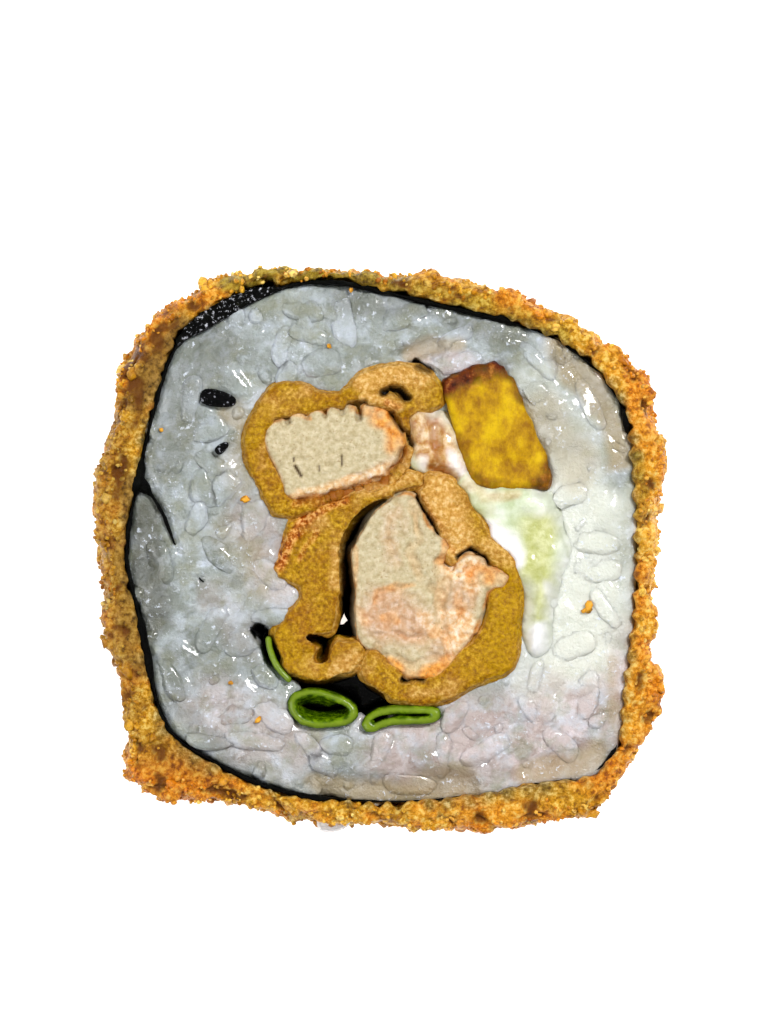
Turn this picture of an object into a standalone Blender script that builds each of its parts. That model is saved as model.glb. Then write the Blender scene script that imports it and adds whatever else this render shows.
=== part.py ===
"""One slice of a crumbed and fried sushi roll, lying flat with its cut face up.

Seen from above, +X is right and +Y is up. The roll's axis is +Z. Outlines are in millimetres,
counted from the middle of the slice, and the meshes are in metres.
"""
import math
import random

import bmesh
import bpy
from mathutils import Matrix, Vector, noise

MM = 0.001

# Overall size of the slice.
WIDTH = 58.0
DEPTH = 57.0
THICKNESS = 22.0

# Free space between neighbouring pieces.
GAP = 0.3

# Crumb coat: how far its crags stand out, and how finely its wall is divided.
CRAG_HEIGHT = 1.1
CRAG_SIZE = 2.6
CRUMB_HEIGHT = 0.8
CRUMB_SIZE = 1.3
CRUST_STEP = 1.6
CRUST_LAYERS = 10
CRUST_EDGE = 0.7
CRUST_SINK = 0.2

# Seaweed sheet. Its two loose ends are cut a little lower than its loop.
NORI_THICK = 0.45
NORI_STEP = 2.0
NORI_LOW = 0.5
NORI_HIGH = THICKNESS - 0.3
NORI_STEP_BACK = 0.08

# Rice grains on the two cut faces.
GRAIN_LENGTH = 5.3
GRAIN_WIDTH = 2.4
GRAIN_HEIGHT = 2.0
GRAIN_SIDES = 5
GRAIN_SPACING = 3.0
GRAIN_LIFT = 0.4
GRAIN_TILT = 0.22
GRAIN_TRIES = 12000
GRAINS_TOP = 100
GRAINS_BOTTOM = 20
GRAIN_SEED = 11

# Heights of the cut faces. Each filling is cut through the whole slice.
RICE_LOW = 0.9
RICE_HIGH = THICKNESS - 0.9
FILLING_LOW = 0.4
FILLING_HIGH = THICKNESS
POCKET_DEPTH = 8.0
RECESS_DEPTH = 1.6
SOFT_EDGE = 0.25

# How far a cutting body stands out beyond the cut faces.
CUT_BEYOND = 3.0

# The distance between the points of a filling's outline, and of a hollow's.
CHICKEN_STEP = 0.95
FILLING_STEP = 1.2
HOLLOW_STEP = 0.85

# The crumb coat's outline, with the large lump at the lower left.
CRUST_OUTLINE = [
    (27.1, 0.0), (27.4, 5.5), (28.1, 9.4), (26.9, 13.4), (26.4, 17.4), (22.5, 20.2), (17.4, 23.8),
    (11.9, 26.2), (5.9, 27.4), (0.0, 27.6), (-5.6, 27.9), (-10.4, 28.1), (-14.4, 27.5),
    (-18.6, 26.0), (-22.4, 23.6), (-25.8, 18.0), (-26.2, 12.6), (-27.9, 8.4), (-28.1, 2.0),
    (-27.4, -3.0), (-27.6, -7.0), (-25.8, -12.5), (-24.6, -18.0), (-25.2, -22.2), (-21.6, -24.4),
    (-14.6, -24.5), (-8.8, -26.2), (-2.0, -26.6), (6.0, -27.4), (14.6, -27.2), (21.4, -24.9),
    (25.0, -20.4), (27.3, -15.4), (26.8, -9.0), (26.7, -4.0),
]

# The seaweed's loop round the rice.
NORI_OUTLINE = [
    (25.6, 0.0), (25.0, -10.0), (23.9, -19.0), (21.3, -22.5), (16.2, -23.6), (4.0, -25.4),
    (-6.6, -25.0), (-12.5, -23.5), (-18.3, -20.6), (-22.1, -17.0), (-24.5, -6.5), (-25.7, -1.0),
    (-25.1, 4.5), (-23.4, 12.4), (-21.2, 19.6), (-18.4, 22.2), (-10.2, 26.4), (-4.6, 27.0),
    (1.5, 25.8), (5.2, 24.9), (16.2, 22.0), (22.2, 17.6), (25.0, 12.0),
]

# The sheet's outer end, which overlaps the loop, and its inner end, which lies in the rice.
NORI_OVERLAP = [(-20.6, 20.8), (-18.1, 23.0), (-14.4, 25.2), (-10.7, 26.7)]
NORI_OVERLAP_THICK = 0.9
NORI_FLAP = [
    (-24.4, 7.0), (-22.3, 4.5), (-20.9, 1.2), (-19.8, -1.4), (-18.3, -2.7), (-15.6, -5.3),
    (-13.2, -7.6), (-12.2, -8.6),
]
NORI_FLAP_THICK = 0.45

# The upper piece of chicken, with the scallops along its top, and the batter round it.
CHICKEN_UPPER = [
    (-11.6, 11.0), (-11.0, 9.5), (-10.0, 7.5), (-9.3, 5.4), (-8.6, 5.2), (-6.0, 5.7), (-3.5, 6.3),
    (-1.5, 7.0), (0.4, 7.6), (1.1, 8.6), (2.1, 10.2), (2.1, 11.3), (1.5, 12.8), (0.8, 13.8),
    (-0.3, 14.3), (-1.4, 14.6), (-2.2, 13.6), (-3.2, 14.5), (-4.0, 13.8), (-4.8, 14.4),
    (-5.6, 13.5), (-6.5, 13.9), (-7.5, 13.5), (-8.5, 13.7), (-9.5, 13.0), (-11.0, 12.5),
]
BATTER_UPPER = [
    (-13.5, 11.0), (-13.3, 9.0), (-12.5, 7.0), (-11.7, 5.4), (-10.9, 4.2), (-9.5, 3.5),
    (-8.0, 3.8), (-6.6, 4.4), (-4.6, 5.3), (-2.0, 5.9), (0.3, 6.4), (1.5, 7.1), (2.4, 8.6),
    (3.2, 10.2), (3.1, 11.2), (2.6, 12.4), (2.9, 13.7), (4.4, 14.1), (5.6, 14.4), (6.0, 15.4),
    (5.6, 16.7), (3.6, 18.0), (1.8, 18.4), (-0.2, 18.1), (-2.0, 17.4), (-3.2, 16.0),
    (-4.6, 15.4), (-6.2, 15.5), (-8.2, 16.5), (-10.4, 16.4), (-11.5, 15.6), (-12.3, 14.0),
    (-13.2, 12.6),
]

# The batter of the lower piece: the tail on its left, which ends in a curl, and its own coat.
BATTER_TAIL = [
    (-9.4, 2.6), (-9.5, 0.8), (-10.1, -0.6), (-10.8, -2.2), (-10.0, -2.8), (-8.5, -3.3),
    (-7.8, -4.1), (-8.1, -5.0), (-9.0, -6.1), (-9.9, -7.3), (-10.7, -8.4), (-10.5, -10.0),
    (-9.8, -11.4), (-8.7, -12.5), (-7.0, -13.1), (-5.5, -13.1), (-4.0, -12.5), (-2.7, -11.9),
    (-2.0, -10.9), (-1.8, -10.0), (-1.4, -9.2), (-1.6, -7.0), (-1.8, -3.0), (-1.6, 0.0),
    (0.2, 3.0), (2.4, 4.8), (4.0, 6.0), (4.1, 7.4), (3.0, 7.6), (1.4, 6.5), (-0.6, 5.8),
    (-3.0, 5.2), (-5.2, 4.5), (-7.4, 3.4),
]
BATTER_LOWER = [
    (4.6, 7.5), (3.6, 6.2), (2.8, 3.0), (1.0, -2.0), (0.0, -7.0), (-0.4, -9.4),
    (-1.4, -10.4), (-1.8, -12.0), (-1.2, -13.3),
    (0.0, -14.2), (1.6, -15.0), (3.2, -15.3), (5.0, -15.3), (6.6, -15.0), (8.0, -14.1),
    (9.3, -13.3), (12.4, -12.3), (13.4, -11.0), (13.5, -8.0), (13.8, -5.0), (13.8, -2.2),
    (13.0, -0.7), (11.8, 0.2), (10.8, 0.9), (10.4, 2.0), (9.8, 3.2), (9.0, 4.0), (8.5, 5.2),
    (7.4, 6.5), (6.2, 7.1), (5.2, 7.3),
]
CHICKEN_LOWER = [
    (3.0, 5.5), (1.5, 5.3), (0.0, 4.4), (-1.2, 3.2), (-2.2, 1.3), (-3.0, -0.2), (-2.9, -2.0),
    (-2.6, -4.0), (-2.7, -6.0), (-2.5, -8.3), (-2.0, -9.2), (-1.0, -9.9), (0.0, -10.1),
    (0.6, -11.0), (1.8, -11.9), (3.0, -12.8), (4.4, -12.9), (5.6, -12.6), (6.5, -11.8),
    (7.5, -10.5), (8.6, -9.1), (9.2, -7.9), (9.9, -6.5), (10.3, -5.2), (10.6, -4.0),
    (12.2, -3.5), (12.7, -2.7), (11.9, -2.1), (11.0, -1.9), (10.4, -0.9), (9.2, -0.4),
    (8.2, -0.8), (7.4, -1.7), (6.8, -2.1), (6.1, -1.6), (6.3, -0.6), (6.6, 0.4), (5.9, 1.4),
    (4.6, 2.3), (4.1, 3.3), (3.9, 4.6),
]

# The wedge of sweet potato, the creamy sauce beside it, and the flattened scallion tubes.
SWEET_POTATO = [
    (6.6, 16.9), (6.6, 15.6), (7.1, 14.0), (7.4, 12.4), (8.1, 9.6), (8.8, 7.6), (10.0, 6.5),
    (12.4, 6.3), (15.0, 6.4), (16.6, 6.2), (17.0, 7.4), (16.4, 9.2), (15.2, 12.1), (14.0, 14.6),
    (13.6, 16.3), (12.3, 17.8), (10.8, 18.5), (8.4, 17.9),
]
CREAM = [
    (3.4, 13.6), (3.5, 11.4), (3.4, 9.8), (3.0, 8.4), (4.6, 8.0), (6.4, 7.3), (7.8, 6.9),
    (9.0, 5.5), (10.0, 4.0), (10.9, 2.2), (11.4, 1.0), (12.6, 0.2), (13.9, -1.2), (14.4, -3.2),
    (14.4, -6.0), (14.2, -8.4), (15.2, -10.2), (16.6, -9.6), (17.0, -7.4), (17.4, -4.6),
    (18.5, -2.0), (18.6, 1.0), (18.0, 3.8), (16.6, 5.6), (13.0, 5.8), (10.6, 5.9), (9.2, 6.6),
    (8.2, 8.4), (7.4, 11.0), (6.9, 13.2), (6.2, 13.9), (4.8, 13.8),
]
SCALLION_LEFT = [
    (-9.3, -15.2), (-8.9, -16.5), (-7.8, -17.5), (-6.0, -17.8), (-3.6, -17.5), (-2.5, -16.8),
    (-2.4, -16.0), (-3.2, -15.1), (-5.0, -14.3), (-7.0, -13.9), (-8.7, -14.4),
]
SCALLION_RIGHT = [
    (-1.9, -17.5), (-1.4, -18.2), (-0.6, -18.1), (0.5, -17.6), (2.0, -17.4), (4.0, -17.4),
    (5.6, -17.1), (6.0, -16.4), (5.5, -15.8), (3.0, -15.7), (1.0, -15.7), (-0.6, -16.1),
    (-1.6, -16.8),
]
SCALLION_WALL = 0.6
SCALLION_STRIP = [(-11.3, -8.7), (-11.1, -10.1), (-10.3, -11.8), (-9.1, -13.1)]
SCALLION_STRIP_THICK = 0.4

# Hollows between the fillings. Only the small hole beside the tail goes right through.
ARCH_HOLLOW = [
    (0.2, 15.5), (1.2, 15.2), (2.0, 14.4), (2.6, 14.5), (2.6, 15.3), (1.6, 16.2), (0.8, 16.1),
]
SLIT_HOLLOW = [
    (0.6, 14.0), (1.6, 12.0), (2.4, 10.3), (3.1, 10.3), (3.0, 11.0), (2.2, 12.6), (1.5, 13.9),
]
LENS_HOLLOWS = [
    [(-8.4, 4.9), (-6.4, 4.8), (-4.7, 5.5), (-4.6, 6.0), (-6.4, 6.0), (-8.2, 5.6)],
    [(-4.0, 5.7), (-1.8, 6.0), (0.1, 6.6), (0.1, 7.4), (-2.0, 7.2), (-3.8, 6.6)],
    [(0.5, 7.2), (1.3, 7.2), (2.3, 9.0), (2.5, 10.0), (1.8, 10.2), (0.8, 8.6)],
]
CRACK = [
    (-4.8, -8.6), (-4.6, -7.0), (-4.3, -5.0), (-4.0, -3.0), (-4.2, 0.0), (-3.7, 1.5), (-2.5, 3.3),
    (-0.8, 4.7), (0.6, 5.3), (2.0, 6.0), (3.3, 6.6), (4.6, 6.4), (4.0, 4.8), (1.6, 3.4),
    (0.0, 1.0), (-1.0, -2.0), (-1.0, -6.0), (-0.8, -9.0), (-2.2, -9.3),
]
THROUGH_HOLE = [
    (-3.7, -5.6), (-3.1, -6.6), (-3.1, -8.1), (-4.2, -8.5), (-5.1, -8.6), (-4.9, -7.3), (-4.4, -6.2),
]
AMBER_HOLLOW = [
    (11.0, -5.0), (10.9, -6.6), (10.2, -8.2), (8.8, -9.8), (8.0, -9.4), (8.8, -6.0), (10.2, -4.2),
]
FOOT_HOLLOW = [(2.1, -12.6), (2.6, -13.3), (3.3, -13.7), (4.2, -13.2), (4.6, -12.6), (3.4, -12.2)]
CURL_HOLLOW = [
    (-7.9, -8.7), (-6.6, -9.3), (-6.3, -10.0), (-6.8, -10.9), (-6.2, -11.3), (-5.3, -10.8),
    (-5.0, -9.9), (-4.7, -9.3), (-3.0, -9.3), (-1.9, -9.1), (-2.6, -8.2), (-5.0, -8.1),
]
LEFT_HOLLOW = [(-12.4, -7.9), (-12.0, -9.0), (-12.3, -9.9), (-11.4, -11.2), (-10.0, -11.6), (-9.6, -8.0)]
LOWER_HOLLOW = [
    (-9.0, -12.0), (-8.7, -13.7), (-7.0, -14.2), (-5.0, -14.5), (-3.2, -15.4), (-2.2, -16.6),
    (-0.6, -16.2), (2.6, -16.0), (3.0, -14.6), (-0.4, -13.0), (-1.2, -11.0), (-4.4, -11.6),
]

# Sesame seeds on the rice: place, turn in degrees, length and width.
SEEDS = [((-16.3, 15.1), -10.0, 3.7, 2.1), ((-15.9, 10.2), 40.0, 1.6, 1.1)]
SEED_HEIGHT = 1.2
SEED_LEVEL = RICE_HIGH + 0.35

# A grain of rice caught in the crumbs at the lower edge: place, turn and tilt.
STUCK_GRAIN = ((-4.8, -27.0, 17.4), 0.1, 0.15)

COLOURS = {
    "crust": (0.62, 0.27, 0.06),
    "nori": (0.012, 0.016, 0.012),
    "rice": (0.66, 0.70, 0.70),
    "batter_upper": (0.66, 0.40, 0.08),
    "batter_tail": (0.62, 0.36, 0.10),
    "batter_lower": (0.66, 0.40, 0.10),
    "chicken_upper": (0.80, 0.70, 0.50),
    "chicken_lower": (0.80, 0.66, 0.50),
    "sweet_potato": (0.72, 0.40, 0.02),
    "cream": (0.80, 0.82, 0.66),
    "scallion_left": (0.10, 0.25, 0.03),
    "scallion_right": (0.10, 0.25, 0.03),
    "scallion_strip": (0.12, 0.25, 0.04),
}
ROUGHNESS = 0.5
SMOOTH_ANGLE = math.radians(40.0)


def remove_old_objects():
    """Start from an empty scene."""
    for old in list(bpy.data.objects):
        bpy.data.objects.remove(old, do_unlink=True)


def material(name):
    """A plain surface in the colour of the piece."""
    made = bpy.data.materials.new(name)
    made.use_nodes = True
    shader = made.node_tree.nodes["Principled BSDF"]
    shader.inputs["Base Color"].default_value = (*COLOURS[name], 1.0)
    shader.inputs["Roughness"].default_value = ROUGHNESS
    return made


def spline_point(a, b, c, d, t):
    """A point between b and c on the smooth curve through a, b, c and d."""
    made = []
    for p, q, r, s in zip(a, b, c, d):
        square = (2 * p - 5 * q + 4 * r - s) * t ** 2
        cube = (3 * q - p - 3 * r + s) * t ** 3
        made.append(0.5 * (2 * q + (r - p) * t + square + cube))
    return tuple(made)


def resample(points, step, closed):
    """Points an even step apart along a line of points."""
    line = points + points[:1] if closed else points
    lengths = [math.dist(p, q) for p, q in zip(line, line[1:])]
    count = max(6 if closed else 2, round(sum(lengths) / step))
    spans = count if closed else count - 1
    wanted = [sum(lengths) * k / spans for k in range(count)]
    made = []
    for distance in wanted:
        k = 0
        while k < len(lengths) - 1 and distance > lengths[k]:
            distance -= lengths[k]
            k += 1
        share = min(1.0, distance / lengths[k])
        made.append(tuple(p + (q - p) * share for p, q in zip(line[k], line[k + 1])))
    return made


def smooth_loop(points, step, fine=8):
    """A closed smooth curve through the points, anticlockwise, with a point every step."""
    n = len(points)
    dense = []
    for k in range(n):
        near = [points[(k + m) % n] for m in (-1, 0, 1, 2)]
        dense += [spline_point(*near, m / fine) for m in range(fine)]
    if signed_area(dense) < 0:
        dense.reverse()
    return resample(dense, step, closed=True)


def smooth_line(points, step, fine=8):
    """An open smooth curve through the points, with a point about every step."""
    ends = [points[0]] + points + [points[-1]]
    dense = []
    for k in range(len(points) - 1):
        dense += [spline_point(*ends[k:k + 4], m / fine) for m in range(fine)]
    return resample(dense + [points[-1]], step, closed=False)


def signed_area(loop):
    """Positive for a loop that runs anticlockwise."""
    pairs = zip(loop, loop[1:] + loop[:1])
    return 0.5 * sum(p[0] * q[1] - q[0] * p[1] for p, q in pairs)


def normals_of(loop):
    """The outward direction at each point of an anticlockwise loop."""
    n = len(loop)
    made = []
    for k in range(n):
        before, after = loop[k - 1], loop[(k + 1) % n]
        along = Vector((after[0] - before[0], after[1] - before[1])).normalized()
        made.append((along.y, -along.x))
    return made


def distance_to(loop, point, closed=True):
    """The distance from a point to a line of points."""
    pairs = list(zip(loop, loop[1:] + loop[:1])) if closed else list(zip(loop, loop[1:]))
    best = 1e9
    for (ax, ay), (bx, by) in pairs:
        dx, dy = bx - ax, by - ay
        length = dx * dx + dy * dy
        share = 0.0
        if length > 0:
            share = max(0.0, min(1.0, ((point[0] - ax) * dx + (point[1] - ay) * dy) / length))
        best = min(best, math.hypot(point[0] - ax - dx * share, point[1] - ay - dy * share))
    return best


def inside(loop, point):
    """Whether a point lies inside a loop."""
    crossings = 0
    for (ax, ay), (bx, by) in zip(loop, loop[1:] + loop[:1]):
        if (ay > point[1]) != (by > point[1]):
            if point[0] < ax + (point[1] - ay) * (bx - ax) / (by - ay):
                crossings += 1
    return crossings % 2 == 1


def offset_loop(loop, amount):
    """The loop moved outward by an amount, without the points that fold over each other."""
    moved = [(x + nx * amount, y + ny * amount) for (x, y), (nx, ny) in zip(loop, normals_of(loop))]
    return [p for p in moved if distance_to(loop, p) > 0.93 * abs(amount)]


def longer(line, amount):
    """The line of points with both of its ends moved on by an amount."""
    made = list(line)
    for end, near in ((0, 1), (-1, -2)):
        along = (Vector(made[end]) - Vector(made[near])).normalized() * amount
        made[end] = (made[end][0] + along.x, made[end][1] + along.y)
    return made


def band_loop(line, thick, clearance=0.0):
    """A strip's outline: both sides of a line, with its ends square and free space all round it."""
    thick += 2 * clearance
    line = longer(line, clearance)
    sides = ([], [])
    for k, (x, y) in enumerate(line):
        before, after = line[max(k - 1, 0)], line[min(k + 1, len(line) - 1)]
        along = Vector((after[0] - before[0], after[1] - before[1])).normalized()
        for side, sign in zip(sides, (1, -1)):
            side.append((x - along.y * thick / 2 * sign, y + along.x * thick / 2 * sign))
    loop = sides[0] + sides[1][::-1]
    return loop if signed_area(loop) > 0 else loop[::-1]


def new_object(name, bm):
    """An object from mesh data in millimetres, with its faces pointing out."""
    bmesh.ops.recalc_face_normals(bm, faces=bm.faces)
    bmesh.ops.scale(bm, vec=(MM, MM, MM), verts=bm.verts)
    mesh = bpy.data.meshes.new(name)
    bm.to_mesh(mesh)
    bm.free()
    made = bpy.data.objects.new(name, mesh)
    bpy.context.collection.objects.link(made)
    return made


def stacked(rings):
    """A closed body from rings of points, lowest first, all with the same number of points."""
    bm = bmesh.new()
    layers = [[bm.verts.new(p) for p in ring] for ring in rings]
    for low, high in zip(layers, layers[1:]):
        for k in range(len(low)):
            m = (k + 1) % len(low)
            bm.faces.new((low[k], low[m], high[m], high[k]))
    bm.faces.new(layers[0][::-1])
    bm.faces.new(layers[-1])
    return bm


def at_height(loop, z):
    """The loop's points at one height."""
    return [(x, y, z) for x, y in loop]


def slab(name, loop, low, high, edge=0.0):
    """A straight body with the loop as its outline and, if asked for, softened edges."""
    rings = [at_height(loop, low), at_height(loop, high)]
    if edge > 0:
        small = [(x - nx * edge, y - ny * edge) for (x, y), (nx, ny) in zip(loop, normals_of(loop))]
        rings = [at_height(small, low), at_height(loop, low + edge),
                 at_height(loop, high - edge), at_height(small, high)]
    return new_object(name, stacked(rings))


def boolean(target, operation, tools, solver="EXACT"):
    """Join the tools to the target, or cut them out of it, and remove them."""
    group = bpy.data.collections.new("tools")
    bpy.context.scene.collection.children.link(group)
    for tool in tools:
        for owner in list(tool.users_collection):
            owner.objects.unlink(tool)
        group.objects.link(tool)
    modifier = target.modifiers.new(operation, "BOOLEAN")
    modifier.operation = operation
    modifier.solver = solver
    modifier.operand_type = "COLLECTION"
    modifier.collection = group
    bpy.context.view_layer.update()
    evaluated = target.evaluated_get(bpy.context.evaluated_depsgraph_get())
    mesh = bpy.data.meshes.new_from_object(evaluated)
    target.modifiers.clear()
    target.data = mesh
    for tool in tools:
        bpy.data.objects.remove(tool, do_unlink=True)
    bpy.data.collections.remove(group)


def keep_largest(target):
    """Drop loose scraps: only the body with the most faces stays."""
    bm = bmesh.new()
    bm.from_mesh(target.data)
    left = set(bm.verts)
    bodies = []
    while left:
        stack = [left.pop()]
        body = set(stack)
        while stack:
            for edge in stack.pop().link_edges:
                for vert in edge.verts:
                    if vert not in body:
                        body.add(vert)
                        stack.append(vert)
        left -= body
        bodies.append(body)
    bodies.sort(key=len, reverse=True)
    scraps = [vert for body in bodies[1:] for vert in body]
    bmesh.ops.delete(bm, geom=scraps, context="VERTS")
    bm.to_mesh(target.data)
    bm.free()


def cutter(loop, clearance=GAP):
    """A body that cuts the loop, with free space round it, right through the slice."""
    wide = offset_loop(loop, clearance) if clearance else loop
    return slab("cutter", wide, -CUT_BEYOND, THICKNESS + CUT_BEYOND)


def pockets(loop, depth):
    """Two bodies that sink the loop into the upper and the lower cut face."""
    upper = slab("pocket", loop, THICKNESS - depth, THICKNESS + CUT_BEYOND)
    lower = slab("pocket", loop, -CUT_BEYOND, depth)
    return [upper, lower]


def finish(target):
    """Give the piece its colour and smooth shading."""
    mesh = target.data
    mesh.materials.clear()
    mesh.materials.append(material(target.name))
    mesh.shade_smooth()
    mesh.set_sharp_from_angle(angle=SMOOTH_ANGLE)
    return target


def crag_relief(x, y, z):
    """How far the crumb coat stands out of its outline at a place."""
    coarse = noise.noise(Vector((x, y, z)) / CRAG_SIZE)
    fine = abs(noise.noise(Vector((x + 40.0, y, z)) / CRUMB_SIZE))
    return max(-CRUST_SINK, CRAG_HEIGHT * coarse) + CRUMB_HEIGHT * fine


def fitted(points):
    """Stretch the four sides to the slice's full width and depth."""
    high_x = max(p[0] for p in points)
    low_x = min(p[0] for p in points)
    high_y = max(p[1] for p in points)
    low_y = min(p[1] for p in points)
    made = []
    for x, y, z in points:
        x *= WIDTH / 2 / (high_x if x > 0 else -low_x)
        y *= DEPTH / 2 / (high_y if y > 0 else -low_y)
        made.append((x, y, z))
    return made


def crust_rings():
    """The crumb coat's outer wall, from its flat foot to its upper edge."""
    loop = smooth_loop(CRUST_OUTLINE, CRUST_STEP)
    out = normals_of(loop)
    rise = (THICKNESS - 2 * CRUST_EDGE) / CRUST_LAYERS
    heights = [CRUST_EDGE + rise * k for k in range(CRUST_LAYERS + 1)]
    points = []
    for z in heights:
        for (x, y), (nx, ny) in zip(loop, out):
            lift = crag_relief(x, y, z)
            points.append((x + nx * lift, y + ny * lift, z))
    points = fitted(points)
    n = len(loop)
    rings = [points[k * n:(k + 1) * n] for k in range(len(heights))]
    inner = [(x - nx * CRUST_EDGE, y - ny * CRUST_EDGE) for (x, y), (nx, ny) in zip(loop, out)]
    return [at_height(inner, 0.0)] + rings + [at_height(inner, THICKNESS)]


def grain(name, place, turn, tilt, length=GRAIN_LENGTH, width=GRAIN_WIDTH, height=GRAIN_HEIGHT):
    """A rice grain with few sides, lying along its length."""
    rings = []
    for share, size in ((-0.36, 0.72), (0.0, 1.0), (0.36, 0.76)):
        ring = []
        for k in range(GRAIN_SIDES):
            angle = 2 * math.pi * (k + 0.5 * (share == 0.0)) / GRAIN_SIDES
            ring.append(Vector((share * length, math.cos(angle) * size * width / 2,
                                math.sin(angle) * size * height / 2)))
        rings.append(ring)
    tips = [Vector((-length / 2, 0.0, 0.0)), Vector((length / 2, 0.0, 0.0))]
    bm = bmesh.new()

    pose = Matrix.Translation(place) @ Matrix.Rotation(turn, 4, "Z") @ Matrix.Rotation(-tilt, 4, "Y")
    layers = [[bm.verts.new(pose @ v) for v in ring] for ring in rings]
    ends = [bm.verts.new(pose @ v) for v in tips]
    for k in range(GRAIN_SIDES):
        m = (k + 1) % GRAIN_SIDES
        bm.faces.new((ends[0], layers[0][m], layers[0][k]))
        bm.faces.new((ends[1], layers[2][k], layers[2][m]))
        for low, high in zip(layers, layers[1:]):
            bm.faces.new((low[k], low[m], high[m]))
            bm.faces.new((low[k], high[m], high[k]))
    return new_object(name, bm)


def grain_ends(place, turn, length):
    """The middle and both ends of a grain, seen from above."""
    dx, dy = math.cos(turn) * length * 0.42, math.sin(turn) * length * 0.42
    return [(place[0] - dx, place[1] - dy), place, (place[0] + dx, place[1] + dy)]


def scatter_grains(rng, count, rim, holes, height):
    """Grains spread over the rice's face, clear of its rim and of the fillings."""
    margin = GAP + GRAIN_WIDTH / 2
    made = []
    spots = []
    tries = 0
    while len(made) < count and tries < GRAIN_TRIES:
        tries += 1
        place = (rng.uniform(-WIDTH / 2, WIDTH / 2), rng.uniform(-DEPTH / 2, DEPTH / 2))
        turn = rng.uniform(0.0, math.pi)
        tilt = rng.uniform(-GRAIN_TILT, GRAIN_TILT)
        length = GRAIN_LENGTH * rng.uniform(0.86, 1.04)
        if any(math.dist(place, other) < GRAIN_SPACING for other in spots):
            continue
        ends = grain_ends(place, turn, length)
        if not all(inside(rim, p) and distance_to(rim, p) > GRAIN_WIDTH / 2 for p in ends):
            continue
        if any(inside(hole, p) or distance_to(hole, p) < margin for hole in holes for p in ends):
            continue
        spots.append(place)
        made.append(grain("grain", (*place, height + rng.uniform(-0.2, 0.2)), turn, tilt, length))
    return made


def make_crust():
    """The crumb coat, with the flat foot that the slice rests on."""
    crust = new_object("crust", stacked(crust_rings()))
    loop = smooth_loop(NORI_OUTLINE, NORI_STEP)
    overlap = band_loop(smooth_line(NORI_OVERLAP, NORI_STEP), NORI_OVERLAP_THICK, GAP)
    boolean(crust, "DIFFERENCE", [cutter(loop), cutter(overlap, 0.0)])
    boolean(crust, "UNION", [grain("grain", *STUCK_GRAIN)])
    keep_largest(crust)
    return finish(crust)


def make_nori():
    """The seaweed sheet: its loop, its overlapping outer end and its inner end."""
    loop = smooth_loop(NORI_OUTLINE, NORI_STEP)
    nori = slab("nori", loop, NORI_LOW, NORI_HIGH)
    boolean(nori, "DIFFERENCE", [cutter(offset_loop(loop, -NORI_THICK), 0.0)])
    overlap = band_loop(smooth_line(NORI_OVERLAP, NORI_STEP), NORI_OVERLAP_THICK)
    flap = band_loop(smooth_line(NORI_FLAP, NORI_STEP), NORI_FLAP_THICK)
    strips = [
        slab("strip", overlap, NORI_LOW + NORI_STEP_BACK, NORI_HIGH - NORI_STEP_BACK),
        slab("strip", flap, NORI_LOW + 2 * NORI_STEP_BACK, NORI_HIGH - 2 * NORI_STEP_BACK),
    ]
    boolean(nori, "UNION", strips)
    keep_largest(nori)
    return finish(nori)


def make_rice(fillings):
    """The rice: a core cut round the fillings, with grains and seeds on its faces."""
    rim = offset_loop(smooth_loop(NORI_OUTLINE, NORI_STEP), -NORI_THICK - GAP)
    flap = band_loop(smooth_line(NORI_FLAP, NORI_STEP), NORI_FLAP_THICK, GAP)
    rice = slab("rice", rim, RICE_LOW, RICE_HIGH)
    boolean(rice, "DIFFERENCE", [cutter(loop) for loop in fillings] + [cutter(flap, 0.0)])
    hollows = [smooth_loop(points, FILLING_STEP) for points in (LEFT_HOLLOW, LOWER_HOLLOW)]
    boolean(rice, "DIFFERENCE", [tool for loop in hollows for tool in pockets(loop, POCKET_DEPTH)])
    keep_largest(rice)
    rng = random.Random(GRAIN_SEED)
    holes = fillings + [flap] + hollows
    seeds = []
    seed_rings = []
    for (x, y), turn, length, width in SEEDS:
        pose = ((x, y, SEED_LEVEL), math.radians(turn), 0.0)
        seeds.append(grain("seed", *pose, length, width, SEED_HEIGHT))
        seed_rings.append([(x + length / 2, y), (x, y + width / 2), (x - length / 2, y), (x, y - width / 2)])
    grains = scatter_grains(rng, GRAINS_TOP, rim, holes + seed_rings, RICE_HIGH + GRAIN_LIFT)
    grains += scatter_grains(rng, GRAINS_BOTTOM, rim, holes, RICE_LOW + GRAIN_LIFT)
    boolean(rice, "UNION", grains + seeds, solver="MANIFOLD")
    keep_largest(rice)
    return finish(rice)


def make_piece(name, loop, through=(), sunk=(), sunk_deep=(), edge=SOFT_EDGE):
    """A filling cut through the whole slice, with cuts right through it and hollows in its faces."""
    piece = slab(name, loop, FILLING_LOW, FILLING_HIGH, edge)
    tools = list(through)
    for hollow in sunk:
        tools += pockets(hollow, RECESS_DEPTH)
    for hollow in sunk_deep:
        tools += pockets(hollow, POCKET_DEPTH)
    if tools:
        boolean(piece, "DIFFERENCE", tools)
        keep_largest(piece)
    return finish(piece)


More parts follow.
